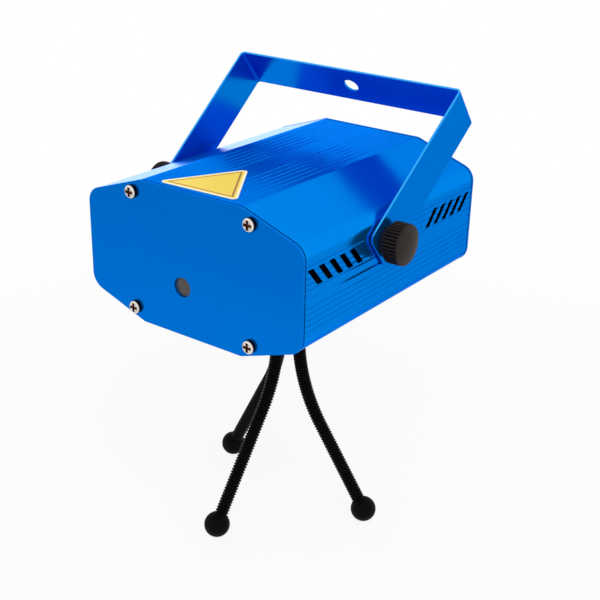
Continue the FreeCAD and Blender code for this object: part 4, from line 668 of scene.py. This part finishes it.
def studio_light(name, spot, size, watts, mirrored):
    """A square softbox at spot, turned to the object; mirrored is whether the metal shows it."""
    lamp = bpy.data.lights.new(name, "AREA")
    lamp.size = size
    lamp.energy = watts
    holder = bpy.data.objects.new(name, lamp)
    holder.location = spot
    holder.rotation_euler = (Vector(AIM) - Vector(spot)).to_track_quat("-Z", "Y").to_euler()
    holder.visible_camera = False
    holder.visible_glossy = mirrored
    bpy.context.scene.collection.objects.link(holder)


def seen_directly(tree):
    """One where a camera, glossy or transmission ray looks, nought for the light that falls on the object."""
    path = add(tree, "ShaderNodeLightPath").outputs
    either = add(tree, "ShaderNodeMath", {0: path["Is Camera Ray"], 1: path["Is Glossy Ray"]},
                 operation="MAXIMUM")
    seen = add(tree, "ShaderNodeMath", {0: either.outputs[0], 1: path["Is Transmission Ray"]},
               operation="MAXIMUM")
    return seen.outputs[0]


def stage_plane(name, corners, height, material):
    """A level card of the studio between its lowest and highest x and y."""
    west, south, east, north = corners
    points = [(west, south, height), (east, south, height), (east, north, height), (west, north, height)]
    mesh = bpy.data.meshes.new(name)
    mesh.from_pydata(points, [], [(0, 1, 2, 3)])
    mesh.materials.append(material)
    card = bpy.data.objects.new(name, mesh)
    bpy.context.scene.collection.objects.link(card)
    return card


def white_world():
    """White to the eye and in reflections; a softer level lights the object."""
    world = bpy.data.worlds.new("studio")
    world.use_nodes = True
    tree = world.node_tree
    tree.nodes.clear()
    level = add(tree, "ShaderNodeMapRange", {"Value": seen_directly(tree), "To Min": WORLD_LEVEL,
                                             "To Max": 1.0})
    light = add(tree, "ShaderNodeBackground", {"Color": (1, 1, 1, 1), "Strength": level.outputs[0]})
    add(tree, "ShaderNodeOutputWorld", {"Surface": light.outputs[0]})
    bpy.context.scene.world = world


def floor_paper():
    """White paper: mostly white as seen, with a share of its true shading left in, so that it keeps the
    shadow, and fading into the white behind it away from the object."""
    material, tree = empty_material("floor_paper")
    paper = add(tree, "ShaderNodeBsdfDiffuse", {"Color": (PAPER_GREY, PAPER_GREY, PAPER_GREY, 1)})
    white = add(tree, "ShaderNodeEmission", {"Color": (1, 1, 1, 1), "Strength": 1.0})
    share = add(tree, "ShaderNodeMath", {0: seen_directly(tree), 1: FLOOR_WHITE_SHARE}, operation="MULTIPLY")
    lit = add(tree, "ShaderNodeMixShader", {0: share.outputs[0], 1: paper.outputs[0], 2: white.outputs[0]})
    place = add(tree, "ShaderNodeTexCoord").outputs["Object"]
    away = add(tree, "ShaderNodeVectorMath", {0: place}, operation="LENGTH")
    fade = add(tree, "ShaderNodeMapRange", {"Value": away.outputs["Value"], "From Min": FLOOR_FADE[0],
                                            "From Max": FLOOR_FADE[1]}, interpolation_type="SMOOTHSTEP")
    under = add(tree, "ShaderNodeNewGeometry").outputs["Backfacing"]
    gone = add(tree, "ShaderNodeMath", {0: fade.outputs[0], 1: under}, operation="MAXIMUM")
    clear = add(tree, "ShaderNodeBsdfTransparent")
    mixed = add(tree, "ShaderNodeMixShader", {0: gone.outputs[0], 1: lit.outputs[0], 2: clear.outputs[0]})
    add(tree, "ShaderNodeOutputMaterial", {"Surface": mixed.outputs[0]})
    return material


def grey_card(name, corners, far, near):
    """A card that only reflections see: one grey up to a place far from the object, another from a place near
    it, and a slope between them."""
    material, tree = empty_material(name)
    place = add(tree, "ShaderNodeTexCoord").outputs["Object"]
    parts = add(tree, "ShaderNodeSeparateXYZ", {0: place})
    level = add(tree, "ShaderNodeMapRange", {"Value": parts.outputs[1], "From Min": far[0],
                                             "From Max": near[0], "To Min": far[1], "To Max": near[1]})
    grey = add(tree, "ShaderNodeEmission", {"Color": (1, 1, 1, 1), "Strength": level.outputs[0]})
    add(tree, "ShaderNodeOutputMaterial", {"Surface": grey.outputs[0]})
    card = stage_plane(name, corners, CARD_HEIGHT, material)
    for ray in ("camera", "diffuse", "shadow", "transmission", "volume_scatter"):
        setattr(card, "visible_" + ray, False)


white_world()
stage_plane("floor", (-FLOOR_HALF, -FLOOR_HALF, FLOOR_HALF, FLOOR_HALF), 0, floor_paper())
grey_card("front_card", FRONT_CARD, *FRONT_GREYS)
grey_card("back_card", BACK_CARD, *BACK_GREYS)
studio_light("key", KEY_SPOT, size=0.9, watts=7.0, mirrored=False)
studio_light("rim", RIM_SPOT, size=0.3, watts=0.4, mirrored=True)

bpy.context.scene.view_settings.view_transform = "Standard"
bpy.context.view_layer.update()
